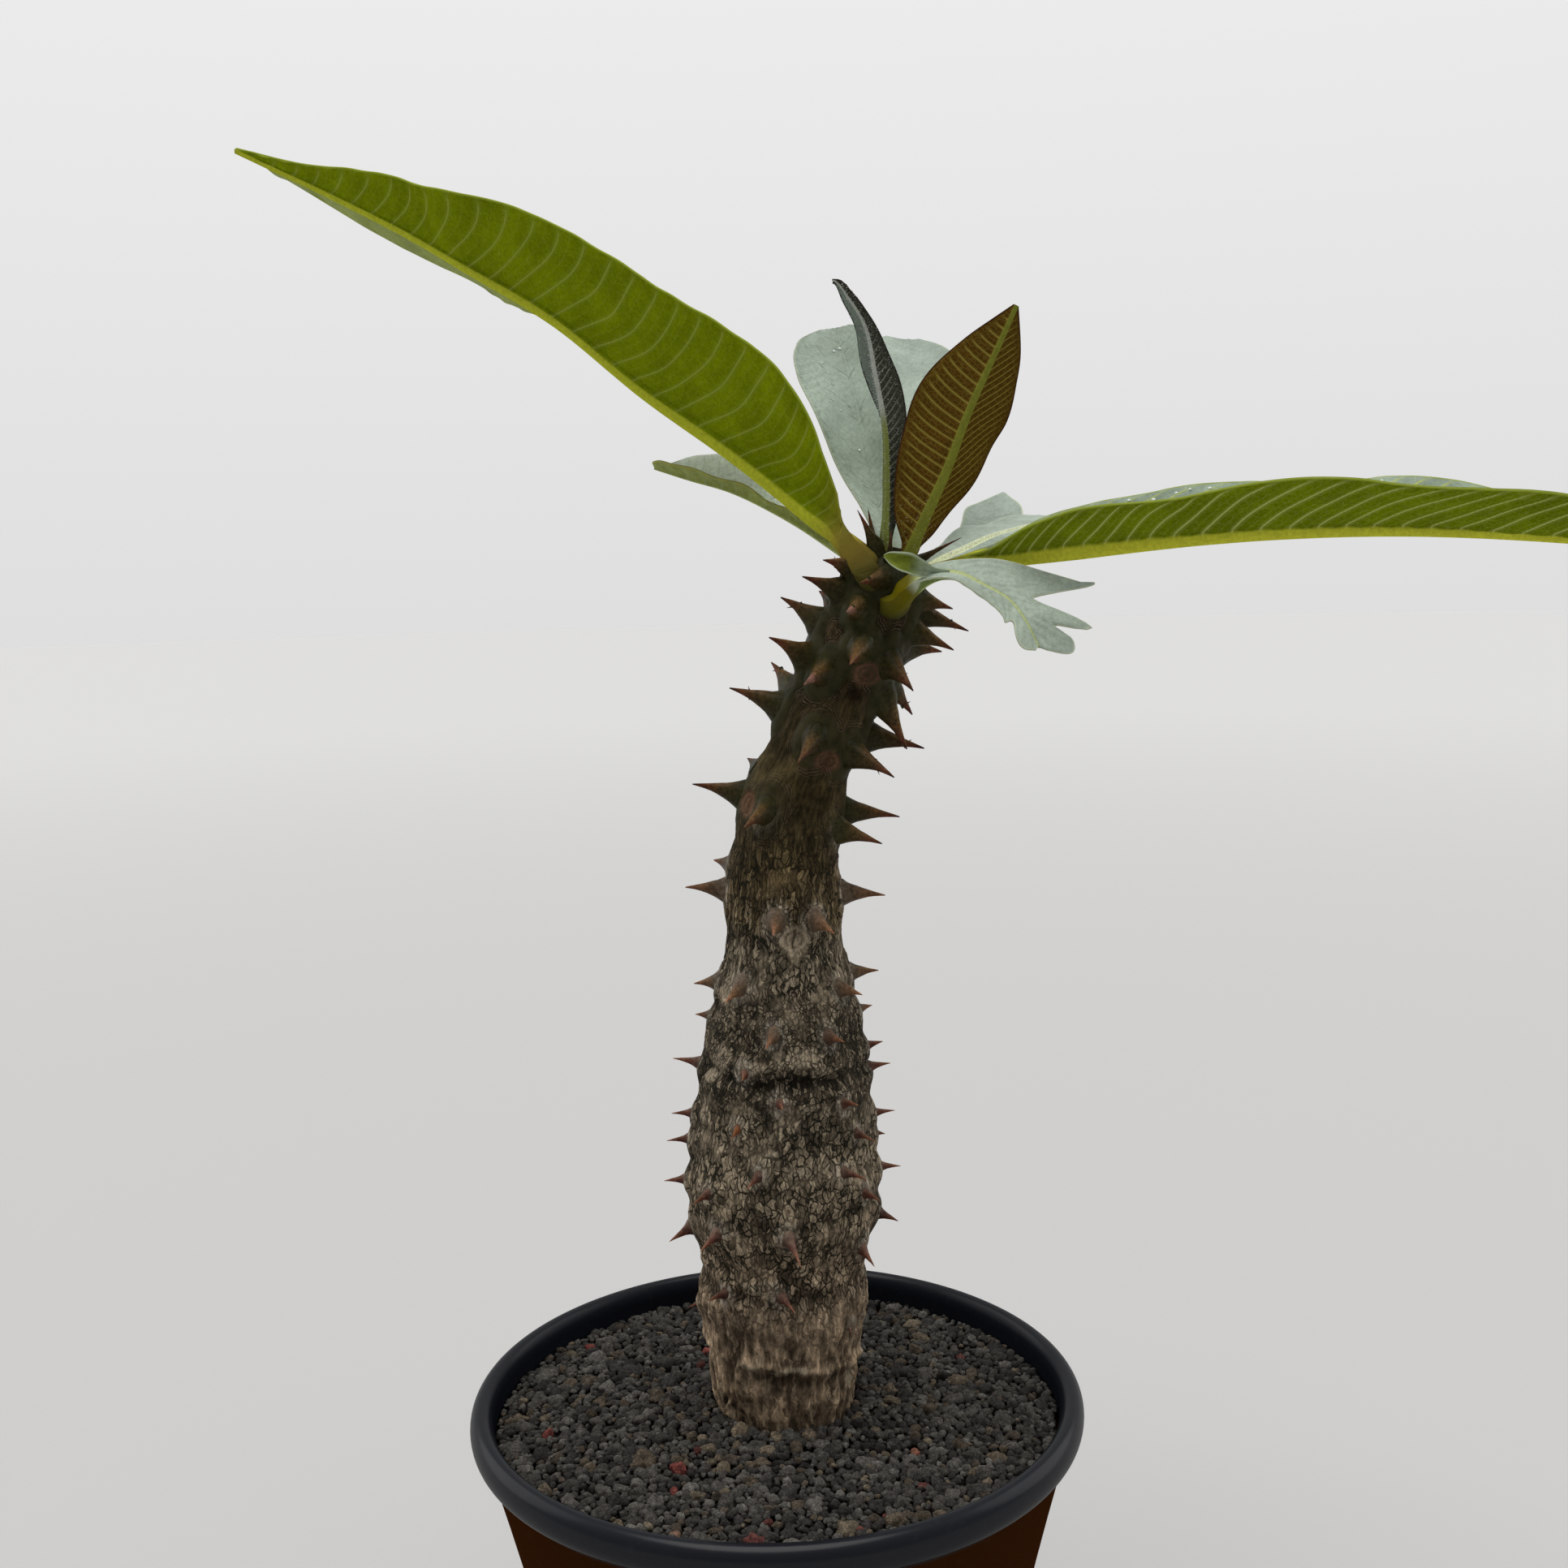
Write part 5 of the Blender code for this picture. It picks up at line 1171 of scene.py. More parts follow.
def spine_material():
    """Horn: dark at the foot, brown along the upper side as painted light from above, and red-brown to
    orange at the point.
    """
    n = Nodes("spine_horn", 0.38, 0.07)
    share, s, shade = n.split(n.read("spine"))
    facing_up, orange, papery = n.split(n.read("tint"))
    place = n.read("place")
    share = share + (n.noise(place, 0.5, 3) - 0.5) * 0.25
    young = n.ramp(share, *YOUNG_HORN)
    # The upper side is made lighter: painted light from above.
    top = n.step(facing_up, 0.2, 1.0) * (n.step(share, 0.15, 0.5) * 0.5)
    young = n.mix(top, young, (0.18, 0.1, 0.038))
    aged = n.ramp(share, *AGED_HORN)
    aged = n.mix(n.step(facing_up, 0.0, 1.0) * 0.35, aged, (0.18, 0.12, 0.085))
    bright = orange * 0.8 * n.step(share, 0.15, 0.5)
    aged = n.mix(bright, aged, (0.26, 0.098, 0.038))
    aged = n.mix(n.step(s, 102.0, 110.0, 0.0, 0.85), aged, n.ramp(share, *WEATHERED_HORN))
    colour = n.mix(n.step(s, 130.0, 148.0), aged, young)
    colour = n.mix(papery * n.step(share, 0.55, 0.75), colour, (0.22, 0.11, 0.08))
    streak = n.step(n.noise(place, 1.3, 5, 0.7), 0.34, 0.66, 0.62, 1.42)
    return n.finish(n.shade(colour, streak * shade), None, n.noise(place, 2.0, 4, 0.65), 0.03)


def make_spines(axis):
    """All spines with their side prickles, as one piece."""
    draw = random.Random(SPINE_SEED)
    bodies = []
    for s, azimuth, length, across, down in spine_rows(axis):
        centre, tangent, _, stem_radius = (part[0] for part in axis.at(s))
        out = axis.outward(s, azimuth)[0]
        lean = across * axis.outward(s, azimuth + 90)[0] - down * tangent
        foot = centre + out * (stem_radius - SPINE_SINK)
        tip = foot + unit(out + lean) * (length + SPINE_SINK)
        body = (foot, tip, tangent * SPINE_BOW * length, between(SPINE_FEET, s))
        orange = 1.0 if ORANGE_FROM < s < ORANGE_TO and ORANGE_LEFT < azimuth < 0 else 0.0
        papery = 1.0 if (s, azimuth) in PAPERY else 0.0
        bodies.append((body, s, orange, papery))
        if s > PRICKLE_FROM and length > PRICKLE_LENGTH and draw.random() < PRICKLE_SHARE:
            bodies.append((side_prickle(draw, *body), s, orange, papery))
    for foot, tip, radius in CROWN_SPINES:
        body = (np.array(foot), np.array(tip), np.array(CROWN_BOW), radius)
        bodies.append((body, axis.length, 0.0, 0.0))
    points, faces, values, tints = [], [], [], []
    start = 0
    for body, s, orange, papery in bodies:
        grid, shares, facing_up = spine_grid(*body)
        shade = draw.uniform(0.8, 1.2)
        points.append(grid.reshape(-1, 3))
        for share in shares:
            values += [(share, s, shade)] * SPINE_SIDES
            tints += [(up, orange, papery) for up in facing_up]
        faces += [[corner + start for corner in face] for face in closed_faces(len(grid), SPINE_SIDES)]
        start += grid.shape[0] * SPINE_SIDES
    points = np.concatenate(points)
    attributes = {"spine": values, "tint": tints, "place": points}
    make_piece("stem_spines", points, faces, spine_material(), "caudex", attributes)


# Leaves

BLADE = 0.6
LEAF_SHARP = 50
RIB_STEPS = 6
ROW_LENGTH = 0.62
COLUMN_WIDTH = 1.0
# A look's numbers: the veins' spacing, with their lean and curl on each half; the height of the relief; how
# much the veins are "shown", how wide a "line" each is and how strong the "fine" net is; how wide the
# midrib is drawn, how much it is shown and how far it stands out; and the shares of the length up to which
# the foot is dark ("foot_to"), with its own dark olive and painted shade where it meets the crown, or the
# blade ("petiole_to") or only the midrib ("stalk_to") has the petiole's colour. "fold" is how wide the
# bend over the midrib is.
GREEN = {
    "under": (0.155, 0.205, 0.001), "upper": (0.27, 0.33, 0.27), "vein": (0.3, 0.35, 0.06),
    "rib": (0.42, 0.45, 0.03), "edge": (0.3, 0.36, 0.04), "petiole": (0.24, 0.19, 0.03),
    "spacing": 5.6, "lean": (-0.85, -0.85), "curl": (0.34, 0.34), "relief": 0.2, "shown": 0.66,
    "fine": 0.3, "line": 0.34, "shine": 0.0, "rib_width": 0.8, "rib_shown": 1.0, "rib_size": 0.85,
    "foot_to": 0.075,
}
# The grey looks' pale blue-grey upper colour is the leaves' upper face with a painted reflection of the pale
# surround on it, and so are the upper colours of single grey leaves below.
GREY = {
    "under": (0.15, 0.21, 0.05), "upper": (0.4, 0.475, 0.405), "vein": (0.42, 0.5, 0.35),
    "rib": (0.48, 0.54, 0.22), "edge": (0.52, 0.57, 0.42), "petiole": (0.24, 0.28, 0.05),
    "spacing": 4.4, "lean": (0.35, 0.35), "curl": (0.26, 0.26), "relief": 0.12, "shown": 0.25,
    "fine": 0.25, "line": 0.25, "rib_width": 0.7, "rib_shown": 0.8, "rib_size": 0.8, "foot_to": 0.09,
}
BRONZE = {
    "under": (0.056, 0.018, 0.0008), "upper": (0.08, 0.06, 0.02), "vein": (0.27, 0.215, 0.042),
    "rib": (0.19, 0.2, 0.03), "edge": (0.045, 0.014, 0.009), "petiole": (0.14, 0.16, 0.03),
    "spacing": 1.8, "lean": (1.22, 0.22), "curl": (0.1, 0.13), "shine": 0.0, "relief": 0.12, "shown": 0.85,
    "fine": 0.5, "line": 0.3, "rib_width": 0.55, "rib_shown": 1.0, "rib_size": 0.75, "foot_to": 0.09,
}
YOUNG = {
    "under": (0.015, 0.017, 0.009), "upper": (0.03, 0.036, 0.028), "vein": (0.24, 0.255, 0.195),
    "rib": (0.48, 0.5, 0.44), "edge": (0.03, 0.024, 0.02), "petiole": (0.21, 0.24, 0.05),
    "spacing": 1.5, "lean": (0.9, 0.55), "curl": (0.25, 0.2), "relief": 0.14, "shown": 0.75,
    "fine": 0.4, "line": 0.24, "shine": 0.0, "rib_width": 0.4, "rib_shown": 0.8, "rib_size": 0.6,
    "foot_to": 0.09, "right_tint": (0.17, 0.21, 0.19), "stalk_to": 0.52,
}
QUIET = {"relief": 0.05, "rib_shown": 0.0, "shown": 0.12, "rib_size": 0.25, "fold": 3.0}
LOOKS = {
    "leaf_long_left": {**GREEN, "right_tint": (0.29, 0.34, 0.12), "petiole": (0.23, 0.165, 0.03)},
    "leaf_long_right": {**GREEN, "under": (0.135, 0.18, 0.001), "spacing": 4.7, "lean": (0.7, 0.7),
                        "curl": (0.15, 0.15), "shown": 1.0, "rib_width": 1.25, "rib_size": 1.0,
                        "rib": (0.56, 0.57, 0.045), "vein": (0.42, 0.47, 0.13),
                        "petiole": (0.3, 0.2, 0.08)},
    "leaf_bronze": BRONZE,
    "leaf_folded_young": YOUNG,
    "leaf_back_left": {**GREY, **QUIET, "spacing": 1.5, "lean": (1.0, 1.0), "shown": 0.38, "line": 0.2,
                       "dashes": 0.75},
    "leaf_back": {**GREY, **QUIET, "upper": (0.355, 0.42, 0.36)},
    # This leaf's upper colour is lightened far beyond its own, as painted light that makes up for the shade
    # of the leaf above it.
    "leaf_damaged_left": {**GREY, "under": (0.28, 0.32, 0.08), "upper": (0.9, 0.96, 0.96),
                          "rib_width": 0.5, "edge": (0.36, 0.35, 0.08)},
    "leaf_right_back": {**GREY, "upper": (0.33, 0.39, 0.33), "rib": (0.7, 0.74, 0.42), "rib_width": 0.8,
                        "lean": (0.8, 0.8)},
    "leaf_far_back": {**GREY, **QUIET, "upper": (0.3, 0.355, 0.305)},
    "leaf_torn_front": {**GREY, "upper": (0.37, 0.435, 0.365), "spacing": 3.6, "petiole_to": 0.3,
                        "petiole": (0.125, 0.105, 0.002), "foot_to": 0.2, "rib_width": 0.6,
                        "rib_size": 0.9, "shown": 0.12, "relief": 0.07},
}
# The leaf's foot: partly its own dark olive, partly painted shade where it meets the crown.
FOOT_OLIVE_AND_SHADE = (0.034, 0.038, 0.012)
DASH_COLOUR = (0.19, 0.23, 0.2)


def half_columns(half_width, rib, blade_steps):
    """Distances from the midrib of a half's columns: close together over the rib, then even."""
    rib_part = np.minimum(1.4 * rib, 0.6 * half_width)
    inner = rib_part * np.linspace(0, 1, RIB_STEPS + 1)
    outer = rib_part + (half_width - rib_part) * np.linspace(0, 1, blade_steps + 1)[1:]
    return np.concatenate([inner, outer], axis=1)


def vein_count(look, along):
    """The number of veins up to a distance along the midrib: they stand closer near the leaf's foot."""
    knots = np.linspace(-80.0, 260.0, 681)
    share = 0.5 + 0.5 * smooth(8.0, 60.0, knots) if look["spacing"] > 3 else np.ones_like(knots)
    count = np.cumsum(0.5 / (share * look["spacing"]))
    return np.interp(along, knots, count)


def pushed(directions, amounts):
    """The direction of each row of a grid, times the amount at each of the row's points."""
    return directions[:, None, :] * amounts[..., None]


def leaf_half(number, leaf, look, frame, blade_steps):
    """One half of a leaf: its upper and under points and the values its material reads."""
    shares, length, centre, tangent, up, right, rib = frame
    side = (-1, 1)[number]
    petiole = leaf.get("petiole", PETIOLE)
    half_width = np.maximum(through(leaf[("left", "right")[number]], shares), 0.4)
    shares = shares[:, None]
    uneven = noise(np.stack([shares * length / 5, 0 * shares, 0 * shares + number], -1), 41)
    half_width = half_width * (1 + 0.012 * uneven)
    round_foot = np.clip(1 - shares / petiole, 0, 1)
    rise = np.radians(between(leaf["rise"][number], shares)) * (1 - round_foot)
    sweep = np.radians(between(leaf.get("sweep", NO_SWEEP)[number], shares))
    level = unit(side * np.cos(rise) * right + np.sin(rise) * up)
    outward = np.cos(sweep) * level + np.sin(sweep) * tangent
    normal = np.cos(rise) * up - side * np.sin(rise) * right
    count, height, shift = leaf["wave"]
    swing = height * np.sin(math.pi * shares) * np.sin(2 * math.pi * (count * shares + shift * (number + 1)))
    away = half_columns(half_width, rib, blade_steps)
    part = away / half_width
    keel = rib * (1 + (look["rib_size"] - 1) * smooth(petiole, petiole + 0.1, shares))
    bulge = keel * np.clip(1 - (away / (1.3 * keel)) ** 2, 0, 1) ** 0.6
    along = shares * length + 0 * away
    flat = np.stack([along / 11, away / 9, 0 * away + 3 * number], axis=-1)
    bent = along - look["lean"][number] * away - look["curl"][number] * half_width * part**3
    phase = vein_count(look, bent) + 0.16 * noise(flat, 43) + 0.5 * number
    fold = look.get("fold", 0.6)
    soft = np.clip(fold - away, 0, fold) ** 2 / (2 * fold)
    blade = smooth(1.0, 1.6, away / rib) * smooth(1.0, 0.9, part) * (1 - round_foot)
    quilt = look["relief"] * blade * np.cos(2 * math.pi * phase + math.pi)
    drift = 0.3 * blade * noise(flat * 1.3 + 9, 47)
    middle = centre[:, None, :] + pushed(outward, away)
    middle = middle + pushed(normal, swing * part**2 + quilt + drift)
    middle = middle + pushed(up, soft * np.sin(rise))
    half = BLADE / 2 * (1 - 0.45 * part**3)
    upper = middle + pushed(normal, half + 0.8 * round_foot * bulge)
    under = middle - pushed(normal, half + bulge)
    hollow = np.clip(1 - (away / (0.8 * rib)) ** 2, 0, 1)
    upper = upper - pushed(normal, 0.25 * look["rib_shown"] * (1 - round_foot) * hollow)
    vein = np.stack([phase, away, half_width - away], axis=-1)
    place = np.stack([shares + 0 * away, side * part, away / rib], axis=-1)
    return upper, under, vein, place


def leaf_grids(leaf, look):
    """A leaf's upper and under points on a fine grid, with what its material reads."""
    route = by_length(leaf["midrib"])
    length = route[-1, 0]
    shares = np.linspace(0.0, 1.0, int(length / ROW_LENGTH) + 30)
    centre = through(route, shares * length)
    tangent = unit(through(route, shares * length + 0.5) - through(route, shares * length - 0.5))
    face = np.asarray(leaf["face"], float)
    up = unit(face - (tangent @ face)[:, None] * tangent)
    rib = between(leaf["rib"], shares)[:, None]
    frame = (shares, length, centre, tangent, up, np.cross(tangent, up), rib)
    widest = max(row[1] for side in ("left", "right") for row in leaf[side])
    blade_steps = max(10, int(widest / COLUMN_WIDTH))
    left, right = (leaf_half(number, leaf, look, frame, blade_steps) for number in (0, 1))
    joined = [np.concatenate([first[:, :0:-1], second], axis=1) for first, second in zip(left, right)]
    middle = left[0].shape[1] - 1
    for k in (0, 1):
        joined[k][:, middle] = (left[k][:, 0] + right[k][:, 0]) / 2
    return joined


def vein_lines(n, look, phase, edge):
    """A leaf's side veins, the same with a soft halo, and the finer veins between them."""
    from_vein = abs(n.do("FRACT", phase) - 0.5) * look["spacing"]
    faded = n.step(edge, 0.3, 2.4, 0.15, 1.0)
    line = n.step(from_vein, look["line"], 0.08) * (faded * look["shown"])
    halo = n.step(from_vein, 3.5 * look["line"], 0.1) * (0.25 * look["shown"])
    between_veins = abs(n.do("FRACT", phase + 0.5) - 0.5) * look["spacing"]
    return line, n.do("MAXIMUM", line, halo), n.step(between_veins, 0.2, 0.04)


def leaf_material(name, look):
    """A blade: pale veins, a thick midrib, a border and fine mottling, other on its upper side."""
    n = Nodes(name, 0.5, look.get("shine", 0.06))
    phase, away, edge = n.split(n.read("vein"))
    along, across, rib_share = n.split(n.read("place"))
    upper_side, surface = n.split(n.read("side"))[0], n.read("surface")
    # On the grey leaves the upper colour holds a painted reflection of the surround.
    base = n.mix(upper_side, look["under"], look["upper"])
    cloud = n.step(n.noise(surface, 0.1, 4, 0.6), 0.3, 0.7, 0.84, 1.18)
    fleck = n.step(n.noise(surface, 1.3, 4, 0.7), 0.3, 0.7, 0.86, 1.14)
    if "right_tint" in look:
        tinted = n.step(across, -0.02, 0.02) * (1.0 - upper_side)
        base = n.mix(tinted, base, look["right_tint"])
    base = n.shade(base, cloud * fleck)
    net = n.step(n.borders(n.warp(surface, 0.7, 0.8), 1.0), 0.1, 0.0)
    base = n.mix(net * (look["fine"] * 0.5), base, look["vein"])
    if "dashes" in look:
        dashes = n.node("CombineXYZ", {0: phase * 3.0, 1: away * 0.45}).outputs[0]
        dashes = n.step(n.noise(dashes, 0.8, 1, 0.5), 0.62, 0.68, 0.0, look["dashes"])
        base = n.mix(dashes, base, DASH_COLOUR)
    line, veins, minor = vein_lines(n, look, phase, edge)
    colour = n.mix(veins, base, look["vein"])
    colour = n.mix(minor * (look["fine"] * 0.4), colour, look["vein"])
    wide = look["rib_width"]
    rib_line = n.step(rib_share, wide + 0.15, wide - 0.1) * look["rib_shown"]
    rib_colour = look["rib"]
    if "stalk_to" in look:
        stalk = n.step(along, look["stalk_to"] + 0.05, look["stalk_to"] - 0.05)
        rib_colour = n.mix(stalk, rib_colour, look["petiole"])
    colour = n.mix(rib_line, colour, n.shade(rib_colour, fleck))
    border = n.step(edge, 0.42, 0.18)
    colour = n.mix(border * 0.8, colour, look["edge"])
    petiole_to = look.get("petiole_to", 0.13)
    colour = n.mix(n.step(along, petiole_to, petiole_to - 0.08), colour, look["petiole"])
    # Dark foot: its own dark olive together with painted shade at the crown.
    foot = n.step(along, look["foot_to"], 0.3 * look["foot_to"], 0.0, 0.85)
    colour = n.mix(foot, colour, FOOT_OLIVE_AND_SHADE)
    relief = n.noise(surface, 1.6, 4, 0.6) + net * 0.4 + line * 0.8
    roughness = n.step(upper_side, 0.0, 1.0, 0.62, 0.34)
    return n.finish(colour, roughness, relief, 0.035)


def sheet_faces(rows, columns):
    """The faces of a thin sheet: a grid of points, the same grid on its back, and the walls round them."""
    half = rows * columns
    faces = grid_faces(rows, columns) + grid_faces(rows, columns, start=half, flip=True)
    edges = (
        (0, columns, rows, False), (columns - 1, columns, rows, True),
        (0, 1, columns, True), (half - columns, 1, columns, False),
    )
    for first, step, count, flip in edges:
        for k in range(count - 1):
            a, b = first + k * step, first + (k + 1) * step
            wall = [a, b, b + half, a + half]
            faces.append(wall[::-1] if flip else wall)
    return faces


def both_sides(upper, under, *read):
    """The points of a sheet's two sides in a row, and the same for values that both sides share."""
    points = np.concatenate([upper.reshape(-1, 3), under.reshape(-1, 3)])
    return points, *(np.tile(values.reshape(-1, 3), (2, 1)) for values in read)


def make_leaf(name, leaf):
    """One leaf as a closed, finely divided blade."""
    look = LOOKS[name]
    upper, under, vein, place = leaf_grids(leaf, look)
    points, vein, place = both_sides(upper, under, vein, place)
    side = np.zeros_like(points)
    side[:len(points) // 2, 0] = 1.0
    values = {"vein": vein, "place": place, "side": side, "surface": points}
    faces, material = sheet_faces(*upper.shape[:2]), leaf_material(name, look)
    make_piece(name + "_blade", points, faces, material, name, values, sharp=LEAF_SHARP)
    return upper, under


# Hairs, drops and the torn flap

# Hairs on a leaf: how many, the side, the shares of the length and parts of the width between which they
# stand, their length and the direction that they lean to.
HAIRS = (
    ("leaf_folded_young", 620, "under", (0.3, 0.97), (-1, 1), 0.45, (0, 0, 0.4)),
    ("leaf_folded_young", 260, "under", (0.1, 0.9), (-0.15, 0.15), 0.5, (0, 0, 0.4)),
    ("leaf_right_back", 420, "upper", (0.16, 0.62), (-0.12, 0.12), 0.55, (0, -0.3, 1)),
    ("leaf_back_left", 260, "upper", (0.12, 0.95), (-1, -0.93), 0.4, (-1.5, -0.3, 0.3)),
    ("leaf_bronze", 120, "under", (0.06, 0.3), (-1, 1), 0.35, (0, -0.5, 0.4)),
)
HAIR_RADIUS = 0.045
HAIR_TURNS = (0, 2.094, 4.189)
HAIR_SEED = 61
HAIR_COLOUR = (0.72, 0.74, 0.7)
# Drops on a leaf: the side, the share of its length, the part of its width and the drop's radius.
DROPS = (
    ("leaf_back_left", "upper", 0.9, -0.45, 0.3), ("leaf_back_left", "upper", 0.91, -0.14, 0.32),
    ("leaf_back_left", "upper", 0.86, -0.62, 0.18), ("leaf_back_left", "upper", 0.5, -0.35, 0.3),
    ("leaf_back_left", "upper", 0.66, -0.55, 0.2),
    ("leaf_long_right", "upper", 0.3, -0.86, 0.32), ("leaf_long_right", "upper", 0.33, -0.84, 0.4),
    ("leaf_long_right", "upper", 0.355, -0.88, 0.35), ("leaf_long_right", "upper", 0.37, -0.92, 0.28),
    ("leaf_long_right", "upper", 0.39, -0.93, 0.36), ("leaf_long_right", "upper", 0.6, -0.93, 0.3),
    ("leaf_damaged_left", "upper", 0.55, 0.55, 0.38), ("leaf_damaged_left", "upper", 0.66, 0.35, 0.3),
    ("leaf_damaged_left", "upper", 0.74, 0.62, 0.42), ("leaf_damaged_left", "upper", 0.48, 0.4, 0.28),
    ("leaf_damaged_left", "upper", 0.82, 0.4, 0.32),
)
DROP_TURNS = 12
DROP_RINGS = 4
DROP_FLATNESS = 0.7
# The drops' pale colour is a painted highlight on clear water.
DROP_HIGHLIGHT_COLOUR = (0.74, 0.79, 0.76)
# The torn flap beside the stalk of the hanging leaf: its upper and its lower edge.
FLAP_TOP = ((23.2, -12.2, 261.9), (23.9, -12.4, 262.3), (25.9, -12.8, 262.4), (28.2, -12.8, 262.1),
            (30.3, -12.2, 260.9), (32.4, -12.2, 259.4), (35, -13.2, 258.9))
FLAP_FOOT = ((23.2, -12.4, 261.5), (24.4, -13.6, 260), (25.9, -14, 259), (27.3, -13.5, 258.5),
             (29.1, -12.4, 257.9), (31.6, -11.6, 257.6), (34.6, -13, 258))
FLAP_ROWS = 36
FLAP_COLUMNS = 12
FLAP_HOLLOW = (0, 1, -0.3)
FLAP_HALF = (0, 0.22, 0)


def leaf_spot(sides, which, share, part):
    """A point on one side of a leaf and the direction away from that side."""
    grid, other = sides if which == "upper" else sides[::-1]
    middle = (grid.shape[1] - 1) // 2
    row = int(share * (grid.shape[0] - 1))
    column = int(round(middle + part * middle))
    return grid[row, column], unit(grid[row, column] - other[row, column])


def make_hairs(leaves):
    """Fine white hairs on the young leaves and along some edges: slim three-sided points."""
    material = Nodes("leaf_hairs", 0.6, 0.1).finish(HAIR_COLOUR)
    draw = random.Random(HAIR_SEED)
    for number, (name, count, which, shares, parts, length, lean) in enumerate(HAIRS):
        points, faces = [], []
        for _ in range(count):
            root, out = leaf_spot(leaves[name], which, draw.uniform(*shares), draw.uniform(*parts))
            loose = np.array([draw.gauss(0, 0.6) for _ in range(3)])
            along = unit(out + np.array(lean) + loose)
            side = unit(np.cross(along, (0.3, 0.5, 0.8)))
            third = np.cross(along, side)
            start = len(points)
            for turn in HAIR_TURNS:
                points.append(root + HAIR_RADIUS * (math.cos(turn) * side + math.sin(turn) * third))
            points.append(root + along * length * draw.uniform(0.6, 1.3))
            faces += [(start + k, start + (k + 1) % 3, start + 3) for k in range(3)]
            faces.append((start + 2, start + 1, start))
        make_piece(f"hairs_{number}", points, faces, material, name)


def make_drops(leaves):
    """Drops of water: small, glossy domes, whose pale colour is a painted highlight."""
    material = Nodes("water_drop", 0.06, 0.7).finish(DROP_HIGHLIGHT_COLOUR)
    for number, (name, which, share, part, radius) in enumerate(DROPS):
        root, out = leaf_spot(leaves[name], which, share, part)
        side = unit(np.cross(out, (0.2, 0.3, 0.9)))
        third = np.cross(out, side)
        points = []
        for ring in range(DROP_RINGS):
            lift = ring / DROP_RINGS * math.pi / 2
            for k in range(DROP_TURNS):
                turn = 2 * math.pi * k / DROP_TURNS
                flat = math.cos(turn) * side + math.sin(turn) * third
                points.append(root + radius * (math.cos(lift) * flat + DROP_FLATNESS * math.sin(lift) * out))
        points.append(root + DROP_FLATNESS * radius * out)
        top = len(points) - 1
        faces = grid_faces(DROP_RINGS, DROP_TURNS, closed=True)
        last = (DROP_RINGS - 1) * DROP_TURNS
        faces += [(last + k, last + (k + 1) % DROP_TURNS, top) for k in range(DROP_TURNS)]
        faces.append(tuple(range(DROP_TURNS - 1, -1, -1)))
        make_piece(f"drop_{number}", points, faces, material, name)


def flap_material():
    """The flap: green inside, darker at its start as painted shade in its hollow, with a pale edge."""
    n = Nodes("torn_flap", 0.5, 0.06)
    place = n.read("place")
    along, across = n.split(place)[:2]
    edge = n.step(abs(across - 0.5), 0.34, 0.48)
    cloud = n.step(n.noise(n.stretch(place, (6.0, 3.0, 1.0)), 1.0, 4), 0.3, 0.7, 0.75, 1.25)
    # Dark green at the flap's start: painted shade.
    colour = n.mix(n.step(along, 0.35, 0.75), (0.13, 0.16, 0.016), (0.33, 0.4, 0.29))
    colour = n.mix(edge, n.shade(colour, cloud), (0.42, 0.49, 0.33))
    return n.finish(colour)


def make_flap():
    """The curled flap of blade at the torn leaf's stalk."""
    shares = np.linspace(0.0, 1.0, FLAP_ROWS)
    edges = []
    for line in (FLAP_TOP, FLAP_FOOT):
        route = by_length(line)
        edges.append(through(route, shares * route[-1, 0]))
    parts = np.linspace(0.0, 1.0, FLAP_COLUMNS)[None, :, None]
    middle = edges[0][:, None, :] * (1 - parts) + edges[1][:, None, :] * parts
    hollow = np.sin(math.pi * parts) * np.sin(math.pi * shares)[:, None, None]
    middle = middle + hollow * np.array(FLAP_HOLLOW)
    across = parts[..., 0] + 0 * shares[:, None]
    place = np.stack([shares[:, None] + 0 * across, across, 0 * across], axis=-1)
    points, place = both_sides(middle - np.array(FLAP_HALF), middle + np.array(FLAP_HALF), place)
    faces = sheet_faces(FLAP_ROWS, FLAP_COLUMNS)
    make_piece("torn_flap", points, faces, flap_material(), "leaf_torn_front", {"place": place})


# Scene

CAMERA_PLACE = (0.0043, -0.3283, 0.26)
CAMERA_LENS = 40.05
CAMERA_SENSOR = 36.0
CAMERA_DOWN = 7.06
CAMERA_ROLL = -1.39
# The floor's colour is darker near the pot and lighter far off: painted shade and painted light.
FLOOR_SHADED_NEAR = (0.48, 0.478, 0.474)
FLOOR_LIT_FAR = (0.57, 0.57, 0.57)
FLOOR_RADIUS = 8.0
FLOOR_SIDES = 64
SURROUND = (0.8, 0.8, 0.8)
SEEN_LEVEL = 0.93
SEEN_SLOPE = (0.0, 0.0, 0.38)
LIGHT_LEVEL = 0.42
LIGHT_SLOPE = (0.0, 0.22, 0.25)
# Lamps that are as strong everywhere: the direction that each shines in, its strength and its colour.
SUNS = {
    "key": ((0.05, 0.15, -1.0), 2.0, (1.0, 0.99, 0.97)),
    "left": ((0.85, -0.35, -0.45), 0.7, (1.0, 1.0, 1.0)),
    "right": ((-0.85, -0.3, -0.45), 0.7, (1.0, 1.0, 1.0)),
}
SUN_SPREAD = 50


